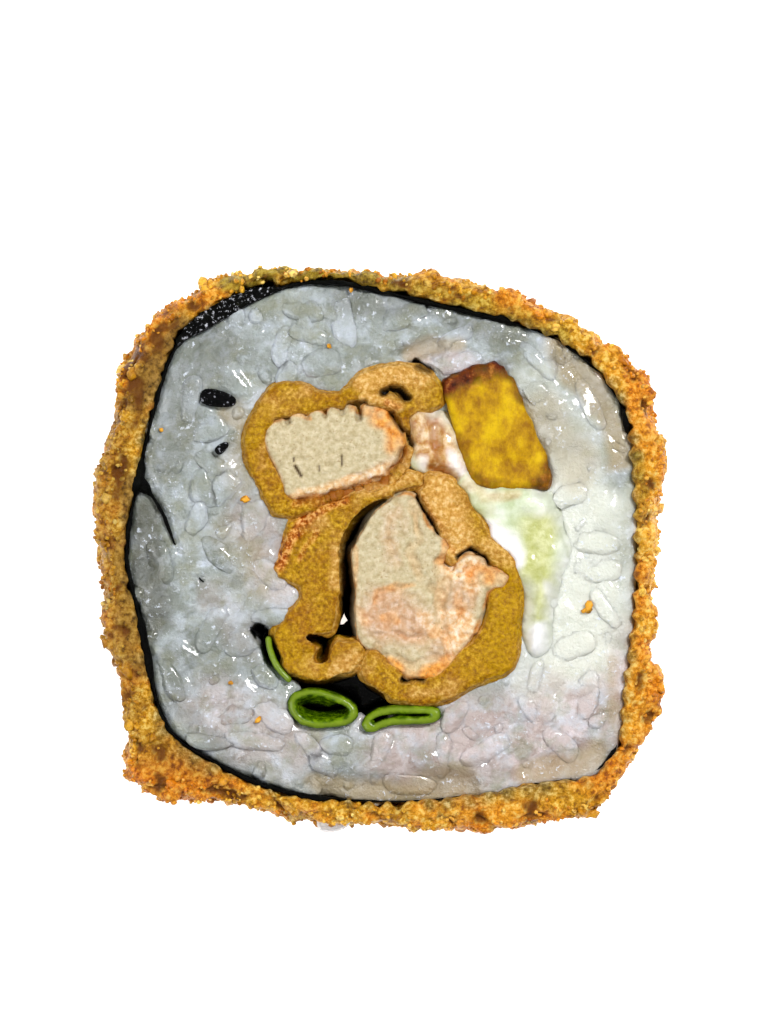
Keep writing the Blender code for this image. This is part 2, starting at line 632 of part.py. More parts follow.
def main():
    """Build every piece of the slice."""
    remove_old_objects()
    upper = smooth_loop(BATTER_UPPER, FILLING_STEP)
    tail = smooth_loop(BATTER_TAIL, FILLING_STEP)
    lower = smooth_loop(BATTER_LOWER, FILLING_STEP)
    chicken_upper = smooth_loop(CHICKEN_UPPER, CHICKEN_STEP)
    chicken_lower = smooth_loop(CHICKEN_LOWER, CHICKEN_STEP)
    potato = smooth_loop(SWEET_POTATO, FILLING_STEP)
    cream = smooth_loop(CREAM, FILLING_STEP)
    scallions = {
        "scallion_left": smooth_loop(SCALLION_LEFT, HOLLOW_STEP),
        "scallion_right": smooth_loop(SCALLION_RIGHT, HOLLOW_STEP),
    }
    strip = band_loop(smooth_line(SCALLION_STRIP, HOLLOW_STEP), SCALLION_STRIP_THICK)
    hole = cutter(smooth_loop(THROUGH_HOLE, HOLLOW_STEP), 0.0)

    make_piece("chicken_upper", chicken_upper)
    make_piece("chicken_lower", chicken_lower)
    make_piece("batter_upper", upper, [cutter(chicken_upper)],
               sunk=[smooth_loop(points, HOLLOW_STEP) for points in LENS_HOLLOWS],
               sunk_deep=[smooth_loop(points, HOLLOW_STEP) for points in (ARCH_HOLLOW, SLIT_HOLLOW)])
    make_piece("batter_tail", tail, [cutter(chicken_lower), cutter(upper), hole],
               sunk_deep=[smooth_loop(points, HOLLOW_STEP) for points in (CRACK, CURL_HOLLOW)])
    make_piece("batter_lower", lower, [cutter(chicken_lower), cutter(tail), cutter(upper)],
               sunk=[smooth_loop(AMBER_HOLLOW, HOLLOW_STEP)],
               sunk_deep=[smooth_loop(FOOT_HOLLOW, HOLLOW_STEP)])
    make_piece("sweet_potato", potato)
    make_piece("cream", cream, [cutter(loop) for loop in (upper, tail, lower, potato)])
    for name, loop in scallions.items():
        make_piece(name, loop, sunk_deep=[offset_loop(loop, -SCALLION_WALL)])
    make_piece("scallion_strip", strip, edge=0.0)
    make_rice([upper, tail, lower, potato, cream, *scallions.values(), strip])
    make_nori()
    make_crust()


main()
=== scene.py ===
import math
import random
from itertools import product

import bmesh
import bpy
import numpy as np
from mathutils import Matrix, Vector
from mathutils.bvhtree import BVHTree
from mathutils.kdtree import KDTree


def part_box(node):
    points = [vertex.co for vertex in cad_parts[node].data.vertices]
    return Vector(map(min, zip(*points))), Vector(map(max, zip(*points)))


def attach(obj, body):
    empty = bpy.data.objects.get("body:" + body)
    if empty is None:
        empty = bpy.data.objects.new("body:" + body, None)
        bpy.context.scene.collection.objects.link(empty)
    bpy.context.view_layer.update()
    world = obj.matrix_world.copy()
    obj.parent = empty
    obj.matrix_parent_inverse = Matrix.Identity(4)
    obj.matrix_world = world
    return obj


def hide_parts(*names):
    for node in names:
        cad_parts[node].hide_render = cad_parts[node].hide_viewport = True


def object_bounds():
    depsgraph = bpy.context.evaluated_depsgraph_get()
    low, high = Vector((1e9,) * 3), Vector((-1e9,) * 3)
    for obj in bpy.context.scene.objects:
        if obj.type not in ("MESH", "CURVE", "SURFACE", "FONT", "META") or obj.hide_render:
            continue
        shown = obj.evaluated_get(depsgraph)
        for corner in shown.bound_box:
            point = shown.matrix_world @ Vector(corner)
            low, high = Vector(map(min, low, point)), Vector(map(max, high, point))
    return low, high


# The looks of a crumbed and fried sushi roll's slice. Sizes are in millimetres. The slice lies
# flat, so its upper cut face is at the top of the frame's box.
MM = 0.001
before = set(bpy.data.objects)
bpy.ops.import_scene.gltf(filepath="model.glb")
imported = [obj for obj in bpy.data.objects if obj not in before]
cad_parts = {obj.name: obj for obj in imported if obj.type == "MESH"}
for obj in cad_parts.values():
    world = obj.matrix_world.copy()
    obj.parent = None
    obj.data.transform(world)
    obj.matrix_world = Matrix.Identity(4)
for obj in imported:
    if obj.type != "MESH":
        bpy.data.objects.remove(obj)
cad_low, cad_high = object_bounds()
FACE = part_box("batter_upper")[1].z / MM
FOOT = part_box("batter_upper")[0].z / MM
RICE_FACE = FACE - 0.9
RICE_FOOT = FOOT + 0.5
BOX_LOW = np.array(cad_low) / MM
BOX_HIGH = np.array(cad_high) / MM
HIGHEST = BOX_HIGH[2]

# The camera: it looks straight down on the cut face, as the photo does.
PHOTO_WIDTH = 768
PHOTO_HEIGHT = 1024
PIXELS_PER_MM = 10.0
CENTRE_PIXEL = (381.0, 550.0)
CAMERA_HEIGHT = 420.0

# Fineness of the remeshed pieces.
CORE_VOXEL = 0.4
RICE_VOXEL = 0.355
BATTER_VOXEL = 0.19
CHICKEN_VOXEL = 0.16
FILLING_VOXEL = 0.24
SCALLION_VOXEL = 0.16
NORI_VOXEL = 0.21
CRUST_VOXEL = 0.27

WHITE = (1.0, 1.0, 1.0, 1.0)
FLOOR_HALF = 1200.0
FLOOR_GAP = 0.2

# Sesame seeds on the rice: place, turn in degrees, length and width.
SEEDS = [((-16.3, 15.1), -10, 3.7, 2.1), ((-15.9, 10.2), 40, 1.6, 1.1)]


def linear(*screen):
    """A colour in linear light from its screen values of 0 to 255."""
    made = []
    for value in screen:
        share = value / 255
        made.append(share / 12.92 if share <= 0.04045 else ((share + 0.055) / 1.055) ** 2.4)
    return (*made, 1.0)


# Noise on whole arrays of points.
WIDEST = np.uint64(0xFFFFFFFF)


def hashed(cells, seed):
    """An even random value from 0 to 1 for each whole-numbered cell, by large primes."""
    x, y, z = (cells[..., k].astype(np.uint64) for k in range(3))
    h = x * np.uint64(73856093) ^ y * np.uint64(19349663) ^ z * np.uint64(83492791)
    h = (h + np.uint64(seed) * np.uint64(2654435761)) & WIDEST
    for shift, factor in ((15, 2246822519), (13, 3266489917)):
        h = ((h ^ (h >> np.uint64(shift))) * np.uint64(factor)) & WIDEST
    return (h ^ (h >> np.uint64(16))).astype(np.float64) / float(WIDEST)


def smooth_noise(points, size, seed):
    """Soft noise from -1 to 1, with bumps of about the given size."""
    scaled = points / size + 1000.0
    cell = np.floor(scaled)
    part = scaled - cell
    part = part * part * (3 - 2 * part)
    total = np.zeros(len(points))
    for corner in product((0, 1), repeat=3):
        weight = np.where(corner, part, 1 - part)
        total += weight[:, 0] * weight[:, 1] * weight[:, 2] * hashed(cell + corner, seed)
    return total * 2 - 1


def layered_noise(points, size, octaves, seed):
    """Noise with finer and finer layers, from about -1 to 1."""
    shares = [0.5 ** k for k in range(octaves)]
    layers = [share * smooth_noise(points, size * share, seed + k) for k, share in enumerate(shares)]
    return sum(layers) / sum(shares)


def domes(points, size, seed):
    """Rounded bumps with creases between them, about 0 on the whole."""
    scaled = points / size + 1000.0
    cell = np.floor(scaled)
    nearest = np.full(len(points), 9.0)
    for step in product((-1, 0, 1), repeat=3):
        near = cell + step
        spot = near + np.stack([hashed(near, seed + k) for k in (11, 12, 13)], axis=1)
        nearest = np.minimum(nearest, ((scaled - spot) ** 2).sum(1))
    return 0.3 - nearest


def warped(points, amount=0.45, size=1.5):
    """Points shifted by soft noise, which gives marks uneven edges."""
    moved = points.copy()
    moved[:, :2] += amount * np.stack([smooth_noise(points, size, 60 + k) for k in range(2)], axis=1)
    return moved


def soft_step(value, low, high):
    """0 below low, 1 above high and smooth between them."""
    share = np.clip((value - low) / (high - low), 0, 1)
    return share * share * (3 - 2 * share)


def line_distance(points, line):
    """The distance of points, seen from above, to a line of points."""
    best = np.full(len(points), 1e9)
    for (ax, ay), (bx, by) in zip(line, line[1:] or line):
        dx, dy = bx - ax, by - ay
        share = ((points[:, 0] - ax) * dx + (points[:, 1] - ay) * dy) / max(dx * dx + dy * dy, 1e-9)
        share = np.clip(share, 0, 1)
        gap = np.hypot(points[:, 0] - ax - dx * share, points[:, 1] - ay - dy * share)
        best = np.minimum(best, gap)
    return best


def marked(points, *marks):
    """How strongly marks reach the points: each is a reach, a strength and a line seen from above."""
    total = np.zeros(len(points))
    for reach, strength, *line in marks:
        near = 1 - soft_step(line_distance(points, line), 0.3 * reach, reach)
        total = np.maximum(total, near * strength)
    return total


def depth_below(points):
    """How deep each point lies under the nearer cut face."""
    return np.minimum(FACE - points[:, 2], points[:, 2] - FOOT)


def deeper(points, low, high):
    """0 less than low under the nearer cut face, 1 more than high under it, smooth between them."""
    return soft_step(depth_below(points), low, high)


def near_face(points, low, high):
    """0 lower than low under the upper cut face, 1 above the depth high, smooth between them."""
    return soft_step(points[:, 2], FACE - low, FACE - high)


# Mesh helpers.
def new_object(name, data):
    """A new object in the scene."""
    made = bpy.data.objects.new(name, data)
    bpy.context.collection.objects.link(made)
    return made


def rows_of(items, name):
    """A vector of each item, as rows."""
    flat = np.empty(len(items) * 3, np.float32)
    items.foreach_get(name, flat)
    return flat.reshape(-1, 3).astype(np.float64)


def points_of(piece):
    """The piece's points."""
    return rows_of(piece.data.vertices, "co") / MM


def normals_of(piece):
    """The piece's point normals."""
    return rows_of(piece.data.vertex_normals, "vector")


def set_points(piece, points):
    """Move the piece's points to new places."""
    piece.data.vertices.foreach_set("co", (points * MM).astype(np.float32).ravel())
    piece.data.update()


def settled(piece, points, high=HIGHEST):
    """Move the piece's points to new places, held inside the frame's box and under a height."""
    points = np.clip(points, BOX_LOW, (*BOX_HIGH[:2], high))
    set_points(piece, points)
    return points


def store(piece, **values):
    """Store values for each point under their names, which the materials read."""
    for name, value in values.items():
        layer = piece.data.attributes.new(name, "FLOAT", "POINT")
        layer.data.foreach_set("value", np.asarray(value, np.float32))


def paint(piece, points, **kinds):
    """Store how strongly each kind of mark reaches the points."""
    store(piece, **{name: marked(points, *marks) for name, marks in kinds.items()})


def node_copy(node):
    """A CAD node's mesh as a new object, with its doubled points joined."""
    bm = bmesh.new()
    bm.from_mesh(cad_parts[node].data)
    bmesh.ops.remove_doubles(bm, verts=bm.verts, dist=1e-6)
    mesh = bpy.data.meshes.new(node + "_looks")
    bm.to_mesh(mesh)
    bm.free()
    return new_object(node + "_looks", mesh)


def remeshed(piece, voxel):
    """Rebuild the piece's surface in even squares of the given size."""
    modifier = piece.modifiers.new("even", "REMESH")
    modifier.mode = "VOXEL"
    modifier.voxel_size = voxel * MM
    bpy.context.view_layer.update()
    evaluated = piece.evaluated_get(bpy.context.evaluated_depsgraph_get())
    mesh = bpy.data.meshes.new_from_object(evaluated)
    piece.modifiers.clear()
    piece.data = mesh


def relaxed(piece, rounds):
    """Smooth the piece by pulling each point towards its neighbours."""
    mesh = piece.data
    edges = np.empty(len(mesh.edges) * 2, np.int64)
    mesh.edges.foreach_get("vertices", edges)
    edges = edges.reshape(-1, 2)
    points = points_of(piece)
    count = np.bincount(edges.ravel(), minlength=len(points))[:, None]
    for _ in range(rounds):
        total = np.zeros_like(points)
        for k in range(3):
            total[:, k] += np.bincount(edges[:, 0], points[edges[:, 1], k], len(points))
            total[:, k] += np.bincount(edges[:, 1], points[edges[:, 0], k], len(points))
        points = 0.5 * points + 0.5 * total / count
    set_points(piece, points)


def reworked(node, voxel, rounds):
    """An even and smoothed copy of a CAD node, with its points and normals."""
    piece = node_copy(node)
    remeshed(piece, voxel)
    relaxed(piece, rounds)
    return piece, points_of(piece), normals_of(piece)


def finish_piece(piece, slot, material, *nodes):
    """Say what the piece rides on, what it stands for and what it is made of."""
    piece.data.materials.clear()
    piece.data.materials.append(material)
    piece.data.shade_smooth()
    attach(piece, "root")
    if nodes:
        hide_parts(*nodes)


# Materials.
class Surface:
    """A material's nodes, built one by one. Its tone is the colour that the layers add up to."""

    def __init__(self, name):
        self.material = bpy.data.materials.new(name)
        self.material.use_nodes = True
        self.tree = self.material.node_tree
        self.shader = self.tree.nodes["Principled BSDF"]
        self.place = self.add("ShaderNodeTexCoord").outputs["Object"]
        self.tone = None

    def feed(self, socket, value):
        """Link a node's output to a socket, or set the socket to a value."""
        if isinstance(value, bpy.types.NodeSocket):
            self.tree.links.new(value, socket)
        else:
            socket.default_value = value

    def fill(self, node, inputs):
        """Feed a node's inputs by their names."""
        for name, value in inputs.items():
            self.feed(node.inputs[name.replace("_", " ")], value)

    def add(self, kind, **inputs):
        """A node with its inputs set or linked."""
        node = self.tree.nodes.new(kind)
        self.fill(node, inputs)
        return node

    def noise(self, size, detail=3, roughness=0.55, stretch=None):
        """Noise with bumps of a size."""
        place = self.place
        if stretch:
            place = self.add("ShaderNodeMapping", Vector=place, Scale=stretch).outputs[0]
        made = self.add("ShaderNodeTexNoise", Vector=place, Scale=1 / (size * MM), Detail=detail,
                        Roughness=roughness)
        return made.outputs["Fac"]

    def ramp(self, value, places, *shades):
        """Screen colours, or shares from 0 to 1, at places along a value."""
        node = self.add("ShaderNodeValToRGB", Fac=value)
        ramp = node.color_ramp
        while len(ramp.elements) < len(places):
            ramp.elements.new(1.0)
        for element, place, shade in zip(ramp.elements, places, shades):
            element.position = place
            element.color = linear(*shade) if isinstance(shade, tuple) else (shade, shade, shade, 1.0)
        return node.outputs["Color"]

    def value(self, name):
        """A value stored on the mesh."""
        node = self.tree.nodes.new("ShaderNodeAttribute")
        node.attribute_name = name
        return node.outputs["Fac"]

    def product(self, a, b):
        """Two values multiplied."""
        node = self.tree.nodes.new("ShaderNodeMath")
        node.operation = "MULTIPLY"
        self.feed(node.inputs[0], a)
        self.feed(node.inputs[1], b)
        return node.outputs[0]

    def over(self, share, colour):
        """Lay a colour over the tone, by a share or by the name of a stored value."""
        node = self.tree.nodes.new("ShaderNodeMix")
        node.data_type = "RGBA"
        self.feed(node.inputs["Factor"], self.value(share) if isinstance(share, str) else share)
        self.feed(node.inputs[6], self.tone)
        self.feed(node.inputs[7], linear(*colour) if isinstance(colour, tuple) else colour)
        self.tone = node.outputs[2]

    def finished(self, bumps, **values):
        """The material, with the shader's own values and bumps: a height, a strength and a depth."""
        self.fill(self.shader, dict(values, Base_Color=self.tone))
        if bumps:
            height, strength, depth = bumps
            node = self.add("ShaderNodeBump", Height=height, Strength=strength, Distance=depth * MM)
            self.feed(self.shader.inputs["Normal"], node.outputs["Normal"])
        return self.material


def rice_material():
    """Cooked rice: greyish and translucent, milky or yellowish in places, pinkish where warm light is
    painted, near white where light is painted on the right, darker where shade is painted, with painted
    sparkles and black painted shade deep down.
    """
    s = Surface("rice_grain")
    shade = s.value("shade")
    s.tone = s.ramp(shade, (0, 0.5, 1), (134, 140, 132), (160, 167, 163), (202, 209, 218))
    # pink: a pinkish tint of painted warm light, mostly on the lower right.
    s.over("pink", s.ramp(shade, (0, 0.5, 1), (180, 160, 154), (202, 186, 182), (232, 220, 224)))
    s.over(s.ramp(s.noise(1.9, 4, 0.6), (0.46, 0.66), 0, 0.6), (202, 210, 220))
    s.over(s.ramp(s.noise(2.6, 4, 0.6), (0.34, 0.5), 0.6, 0), (146, 148, 124))
    # pale: painted light, near white on the right side.
    s.over("pale", (228, 230, 218))
    s.over("gold", (176, 154, 112))
    # dim: painted shade, mostly on the left and near the rim of the rice.
    s.over("dim", (88, 88, 74))
    # Painted sparkles: small bright flecks in clusters, which stand in for glints of light.
    painted_sparkle = s.ramp(s.noise(0.5, 3, 0.7), (0.58, 0.66), 0, 0.75)
    sparkle_clusters = s.ramp(s.noise(2.2, 2), (0.5, 0.6), 0, 1)
    s.over(s.product(painted_sparkle, sparkle_clusters), (230, 236, 248))
    # deep: painted shade, near black deep down and in the gaps.
    s.over("deep", (5, 4, 3))
    return s.finished((s.noise(0.5, 3.5, 0.66), 0.9, 0.34), Roughness=0.2, IOR=1.4,
                      Specular_IOR_Level=0.6, Coat_Weight=0.5, Coat_Roughness=0.04,
                      Subsurface_Weight=0.7, Subsurface_Radius=(1, 0.96, 0.9), Subsurface_Scale=MM)


def nori_material():
    """Toasted seaweed: almost black, wrinkled and a little glossy, with painted glints on its overlap."""
    s = Surface("nori_sheet")
    s.tone = s.ramp(s.noise(1.2), (0.4, 0.66, 0.82), (3, 3, 3), (8, 9, 6), (36, 36, 12))
    # Painted glints: small pale spots that stand in for glints of light.
    glint_spots = s.ramp(s.noise(0.36, 3, 0.7), (0.57, 0.64), 0, 0.9)
    s.over(s.product(glint_spots, s.value("flecked")), (196, 198, 206))
    return s.finished((s.noise(0.4, 5, 0.65), 0.9, 0.3), Roughness=0.4, Specular_IOR_Level=0.05)


def crust_material():
    """The fried coat: olive and beige beside the seaweed, golden to orange outside, with painted light mostly
    on the right and below, painted shade mostly on the left and brown painted shade in its hollows.
    """
    s = Surface("crust_coat")
    fine = s.noise(0.6, 6, 0.68)
    ripe = s.ramp(fine, (0.36, 0.5, 0.64), (150, 70, 0), (232, 134, 8), (255, 190, 70))
    s.tone = s.ramp(fine, (0.36, 0.5, 0.62), (140, 88, 0), (222, 158, 20), (255, 218, 110))
    s.over(s.ramp(s.noise(3.4, 3), (0.46, 0.64), 0, 0.8), ripe)
    s.over("ripe", ripe)
    # bright: painted light.
    s.over("bright", s.ramp(fine, (0.36, 0.5, 0.62), (196, 112, 0), (250, 180, 40), (255, 226, 130)))
    inner = s.ramp(fine, (0.36, 0.5, 0.64), (84, 62, 8), (152, 120, 44), (226, 200, 136))
    s.over(s.ramp(s.value("outward"), (0.08, 0.34), 1, 0), inner)
    s.over("olive", s.ramp(fine, (0.38, 0.64), (84, 74, 0), (186, 164, 50)))
    # shaded: painted shade.
    s.over("shaded", s.ramp(fine, (0.36, 0.64), (64, 40, 0), (176, 130, 50)))
    # hollow: brown painted shade where the surface sinks.
    s.over("hollow", (108, 60, 2))
    return s.finished((s.noise(0.28, 6, 0.7), 1, 0.3), Roughness=0.4, Specular_IOR_Level=0.3)


def crumb_material():
    """The coat's crumbs: each between deep orange and pale gold, with painted light and painted shade in
    places.
    """
    s = Surface("crumb")
    shade = s.value("shade")
    s.tone = s.ramp(shade, (0, 0.3, 0.65, 1), (146, 92, 0), (208, 142, 12), (244, 186, 50), (255, 228, 130))
    s.over("ripe", s.ramp(shade, (0, 0.4, 1), (156, 74, 0), (230, 132, 6), (255, 196, 74)))
    # bright: painted light.
    s.over("bright", s.ramp(shade, (0, 1), (226, 140, 6), (255, 220, 110)))
    s.over(s.ramp(s.noise(0.4, 4), (0.4, 0.52), 0.6, 0), (150, 88, 0))
    # shaded: painted shade.
    s.over("shaded", (120, 84, 10))
    return s.finished((s.noise(0.25, 4), 0.8, 0.2), Roughness=0.36, Specular_IOR_Level=0.35)


def batter_material():
    """Fried batter: golden, peach on its crests, partly as painted highlight, amber or olive in places, with
    a painted rim light along its upper edges, brown painted shade in its recesses and black painted shade in
    the hollows.
    """
    s = Surface("batter")
    fine = s.noise(0.42, 5, 0.62)
    s.tone = s.ramp(fine, (0.34, 0.5, 0.66), (130, 88, 0), (170, 124, 0), (208, 164, 40))
    rich = s.ramp(fine, (0.34, 0.5, 0.66), (120, 70, 0), (154, 100, 0), (186, 132, 8))
    s.over(s.ramp(s.noise(2.8, 3), (0.42, 0.6), 0, 0.8), rich)
    # pale: peach crests, partly painted highlight, with random pale patches, the knob and a painted rim light
    # along the upper edges.
    s.over("pale", s.ramp(fine, (0.34, 0.5, 0.66), (180, 124, 42), (208, 158, 76), (238, 200, 134)))
    s.over("amber", s.ramp(fine, (0.34, 0.5, 0.68), (142, 98, 0), (174, 130, 0), (198, 154, 8)))
    s.over("streak", s.ramp(fine, (0.4, 0.5, 0.6), (120, 46, 0), (180, 92, 12), (232, 172, 100)))
    # recess: brown painted shade in the recesses.
    s.over("recess", (146, 84, 20))
    s.over(s.ramp(s.noise(0.45, 3, 0.7), (0.26, 0.38), 0.8, 0), (120, 68, 0))
    # deep: black painted shade, deep down and in the black marks and slits.
    s.over("deep", (4, 2, 0))
    return s.finished((s.noise(0.5, 4, 0.6), 0.9, 0.34), Roughness=0.36, Specular_IOR_Level=0.16,
                      Subsurface_Weight=0.1, Subsurface_Radius=(1, 0.6, 0.2), Subsurface_Scale=0.6 * MM)


def chicken_material():
    """Cooked chicken: cream white, pinkish in places, with browned rims, browned folds partly as painted
    crease shade, thin cracks painted dark as shade and dark painted shade deep down.
    """
    s = Surface("chicken")
    fine = s.noise(0.6, 5, 0.62)
    s.tone = s.ramp(fine, (0.3, 0.5, 0.72), (178, 160, 118), (203, 188, 150), (224, 212, 180))
    s.over("pink", s.ramp(fine, (0.32, 0.5, 0.68), (196, 150, 108), (208, 172, 138), (228, 202, 180)))
    s.over("torn", s.ramp(fine, (0.34, 0.5, 0.66), (228, 168, 102), (244, 206, 156), (255, 242, 222)))
    s.over("browned", s.ramp(fine, (0.36, 0.64), (202, 114, 16), (250, 184, 88)))
    s.over(s.ramp(s.noise(0.32, 2, 0.7), (0.3, 0.38), 0.6, 0), (156, 124, 78))
    # crack and deep: dark painted shade in the cracks, notches and recesses, and deep down and in the slits.
    s.over("crack", (70, 38, 6))
    s.over("deep", (30, 14, 4))
    return s.finished((s.noise(0.5, 6, 0.7), 0.8, 0.3), Roughness=0.4, Specular_IOR_Level=0.3,
                      Subsurface_Weight=0.2, Subsurface_Radius=(1, 0.7, 0.5), Subsurface_Scale=0.6 * MM)


def potato_material():
    """Sweet potato: saturated yellow with long fibres, a browned skin and brown painted shade below the face.
    """
    s = Surface("sweet_potato_flesh")
    fibre = s.noise(1.6, 7, 0.68, (1, 0.75, 0.6))
    s.tone = s.ramp(fibre, (0.36, 0.5, 0.64), (148, 100, 0), (190, 144, 0), (218, 178, 0))
    skin = s.noise(0.8, 5, 0.65)
    s.over("browned", s.ramp(skin, (0.4, 0.56, 0.7), (54, 10, 0), (110, 44, 8), (180, 110, 50)))
    bumps = s.noise(0.6, 6, 0.7, (1, 0.5, 0.6))
    return s.finished((bumps, 0.8, 0.3), Roughness=0.36, Specular_IOR_Level=0.15)


def cream_material():
    """The pale sauce: glossy, white with green and yellow in it, and painted dark brown as shade deep down
    and in the slits.
    """
    s = Surface("cream_sauce")
    s.tone = s.ramp(s.noise(2.4, 4), (0.36, 0.54, 0.7), (194, 206, 164), (218, 226, 200), (236, 238, 228))
    beige = s.noise(1.1, 5, 0.6)
    s.over("beige", s.ramp(beige, (0.4, 0.5, 0.62), (176, 116, 50), (202, 160, 98), (232, 206, 170)))
    s.over("green", s.ramp(s.noise(1.4, 4, 0.6), (0.38, 0.64), (176, 178, 84), (210, 210, 150)))
    s.over("milky", (248, 246, 250))
    s.over("ricy", s.ramp(s.noise(1.6, 4), (0.4, 0.6), (190, 194, 180), (226, 228, 222)))
    s.over("browned", (160, 98, 36))
    # deep: dark brown painted shade deep down and in the slits.
    s.over("deep", (60, 36, 8))
    return s.finished((s.noise(0.7, 5, 0.65), 0.6, 0.3), Roughness=0.28, Specular_IOR_Level=0.4,
                      Coat_Weight=0.3, Coat_Roughness=0.06,
                      Subsurface_Weight=0.35, Subsurface_Radius=(1, 0.96, 0.82), Subsurface_Scale=MM)


def scallion_material():
    """Scallion: bright green, with a paler skin, and painted dark as shade deep down, inside the tube."""
    s = Surface("scallion_green")
    s.tone = s.ramp(s.noise(0.7, 5, 0.6), (0.36, 0.5, 0.64), (40, 66, 0), (70, 100, 0), (112, 142, 10))
    s.over("rim", (120, 142, 36))
    # deep: dark painted shade deep down.
    s.over("deep", (8, 16, 0))
    return s.finished((s.noise(0.8, 3), 0.4, 0.2), Roughness=0.25, Specular_IOR_Level=0.25)


def seed_material():
    """Black sesame, with a dull shine and grey spots of painted highlight."""
    s = Surface("sesame_seed")
    # Grey spots of painted highlight on the black.
    s.tone = s.ramp(s.noise(0.4), (0.6, 0.68), (2, 2, 3), (150, 152, 160))
    return s.finished((s.noise(0.3, 4, 0.7), 1, 0.25), Roughness=0.25, Specular_IOR_Level=0.07)


def floor_material():
    """A plain pale surface."""
    s = Surface("pale_floor")
    s.tone = s.ramp(s.noise(40), (0.3, 0.7), (246, 246, 246), (252, 252, 252))
    return s.finished(None, Roughness=0.9, Emission_Color=WHITE, Emission_Strength=0.85)


# Search trees over the CAD nodes, which say where the rice, the seaweed and the crust are.
rice_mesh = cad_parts["rice"].data
RICE_TREE = BVHTree.FromPolygons([v.co / MM for v in rice_mesh.vertices],
                                 [tuple(p.vertices) for p in rice_mesh.polygons])


def is_rice(x, y):
    """Whether the rice reaches up near its face at a place."""
    hit = RICE_TREE.ray_cast(Vector((x, y, 60.0)), Vector((0.0, 0.0, -1.0)))[0]
    return hit is not None and hit.z >= RICE_FACE - 1.0


def near_points(node, keep=lambda p: True):
    """A search tree over a CAD node's points, seen from above."""
    kept = [v.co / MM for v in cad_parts[node].data.vertices if keep(v.co / MM)]
    tree = KDTree(len(kept))
    for k, p in enumerate(kept):
        tree.insert((p.x, p.y, 0.0), k)
    tree.balance()
    return tree


def nearest_in(tree, points):
    """The tree's nearest places to the points, seen from above, and their distances."""
    found = [tree.find((x, y, 0.0)) for x, y, _ in points]
    return np.array([spot.xy for spot, _, _ in found]), np.array([gap for _, _, gap in found])


# Marks on the pieces: each is a reach, a strength and the points of a line seen from above.
# Painted warm light: where the rice is tinted pinkish.
RICE_WARM_LIGHT = [
    (8, 0.9, (3, -19), (14, -20), (22, -13)), (5, 0.6, (-9, -19.5), (-17, -16)),
    (4.5, 0.55, (-12.5, 3), (-10, -3)), (1.8, 0.8, (3.5, 18.8), (9.5, 18.8)),
    (3, 0.3, (-17, -5), (-13, -9)),
]
# Painted light: where the rice is made near white, on its right side.
RICE_PAINTED_LIGHT = [
    (7, 0.9, (19, 5), (20.5, -2), (19, -9)), (5, 0.405, (15.5, 16), (19, 11)),
    (4, 0.45, (15, -11), (17, -13)),
]
RICE_GOLD = [
    (2.4, 0.7, (-6, -23.8), (1, -24.4), (8, -23.6)), (2.2, 0.6, (14.5, -22.2), (21.5, -20.8)),
    (2, 0.6, (17, 20.2), (21.6, 16.2), (24, 9)), (2, 0.35, (-13.9, 14), (-14.6, 7)),
    (1.4, 0.6, (2.6, 19.4), (8, 20.6)), (3.4, 0.4, (16.5, 13.5), (20, 8)),
    (1.2, 0.5, (-15.6, 13.4), (-14, 12.6)), (1.4, 0.4, (23.4, -11), (23.2, -17)),
    (3.4, 0.25, (-15.4, 1.4), (-12, -3)),
]
# Painted shade: where the rice is made darker.
RICE_PAINTED_SHADE = [
    (2.8, 0.75, (-22.9, 4), (-24, -1), (-23.4, -7)), (2.2, 0.45, (-4, 25.6), (4, 24.6), (13, 22)),
    (4.2, 0.4, (-22.6, 9), (-20.4, 16), (-16, 21)), (2, 0.4, (-21, -15.5), (-14, -21.6)),
    (1.6, 0.3, (6, -23.2), (12, -22)), (5, 0.28, (-19.5, -12), (-13, -10)), (4, 0.15, (-8, -22), (4, -22)),
]
RICE_DIPS = [
    (2.4, 0.9, (-6, -23.8), (1, -24.3), (8, -23.6)), (2.2, 0.5, (-22.9, 3.5), (-23.8, -1.5)),
    (2, 0.8, (18.4, 18.6), (22, 14.6)), (2.2, 0.8, (15, -22.2), (21.5, -20.6)),
    (1.4, 1, (2.8, 19.6), (5.4, 20.4)), (1, 0.4, (-17, 22.3), (-19, 20)),
]

# Gaps that the rice leaves open beside the fillings, and their depth; deep down they are painted black as
# shade.
RICE_GAPS = [(1, 1, (-12.2, -8.1), (-11.3, -9.4), (-10.8, -10.8)), (0.7, 1, (3.5, 18.6), (4.6, 17.9))]
RICE_GAP_DEPTH = 4.0


def tint_rice(piece, points):
    """Store at each point how much painted warm light, painted light, gold, painted shade and black painted
    shade in depth the rice has.
    """
    paint(piece, warped(points, 1, 2.4), pink=RICE_WARM_LIGHT, pale=RICE_PAINTED_LIGHT, gold=RICE_GOLD, dim=RICE_PAINTED_SHADE)
    # deep is black painted shade below the face.
    store(piece, deep=deeper(points, 1.8, 5))


def melted(piece, heap, voxel):
    """Melt the bodies of a heap into the piece."""
    bodies = heap.mesh("melted_grains")
    bm = bmesh.new()
    bm.from_mesh(piece.data)
    bm.from_mesh(bodies)
    bm.to_mesh(piece.data)
    bm.free()
    bpy.data.meshes.remove(bodies)
    remeshed(piece, voxel)


def nearest_shades(heap, points):
    """The shade of the heap's body nearest to each point, or a middle shade away from them all."""
    bodies = np.concatenate(heap.points)
    shades = np.concatenate(heap.values["shade"])
    tree = KDTree(len(bodies))
    for k, body in enumerate(bodies):
        tree.insert(body, k)
    tree.balance()
    found = []
    for point in points:
        _, k, gap = tree.find(point)
        found.append(shades[k] if gap < 0.6 else 0.35)
    return np.array(found)


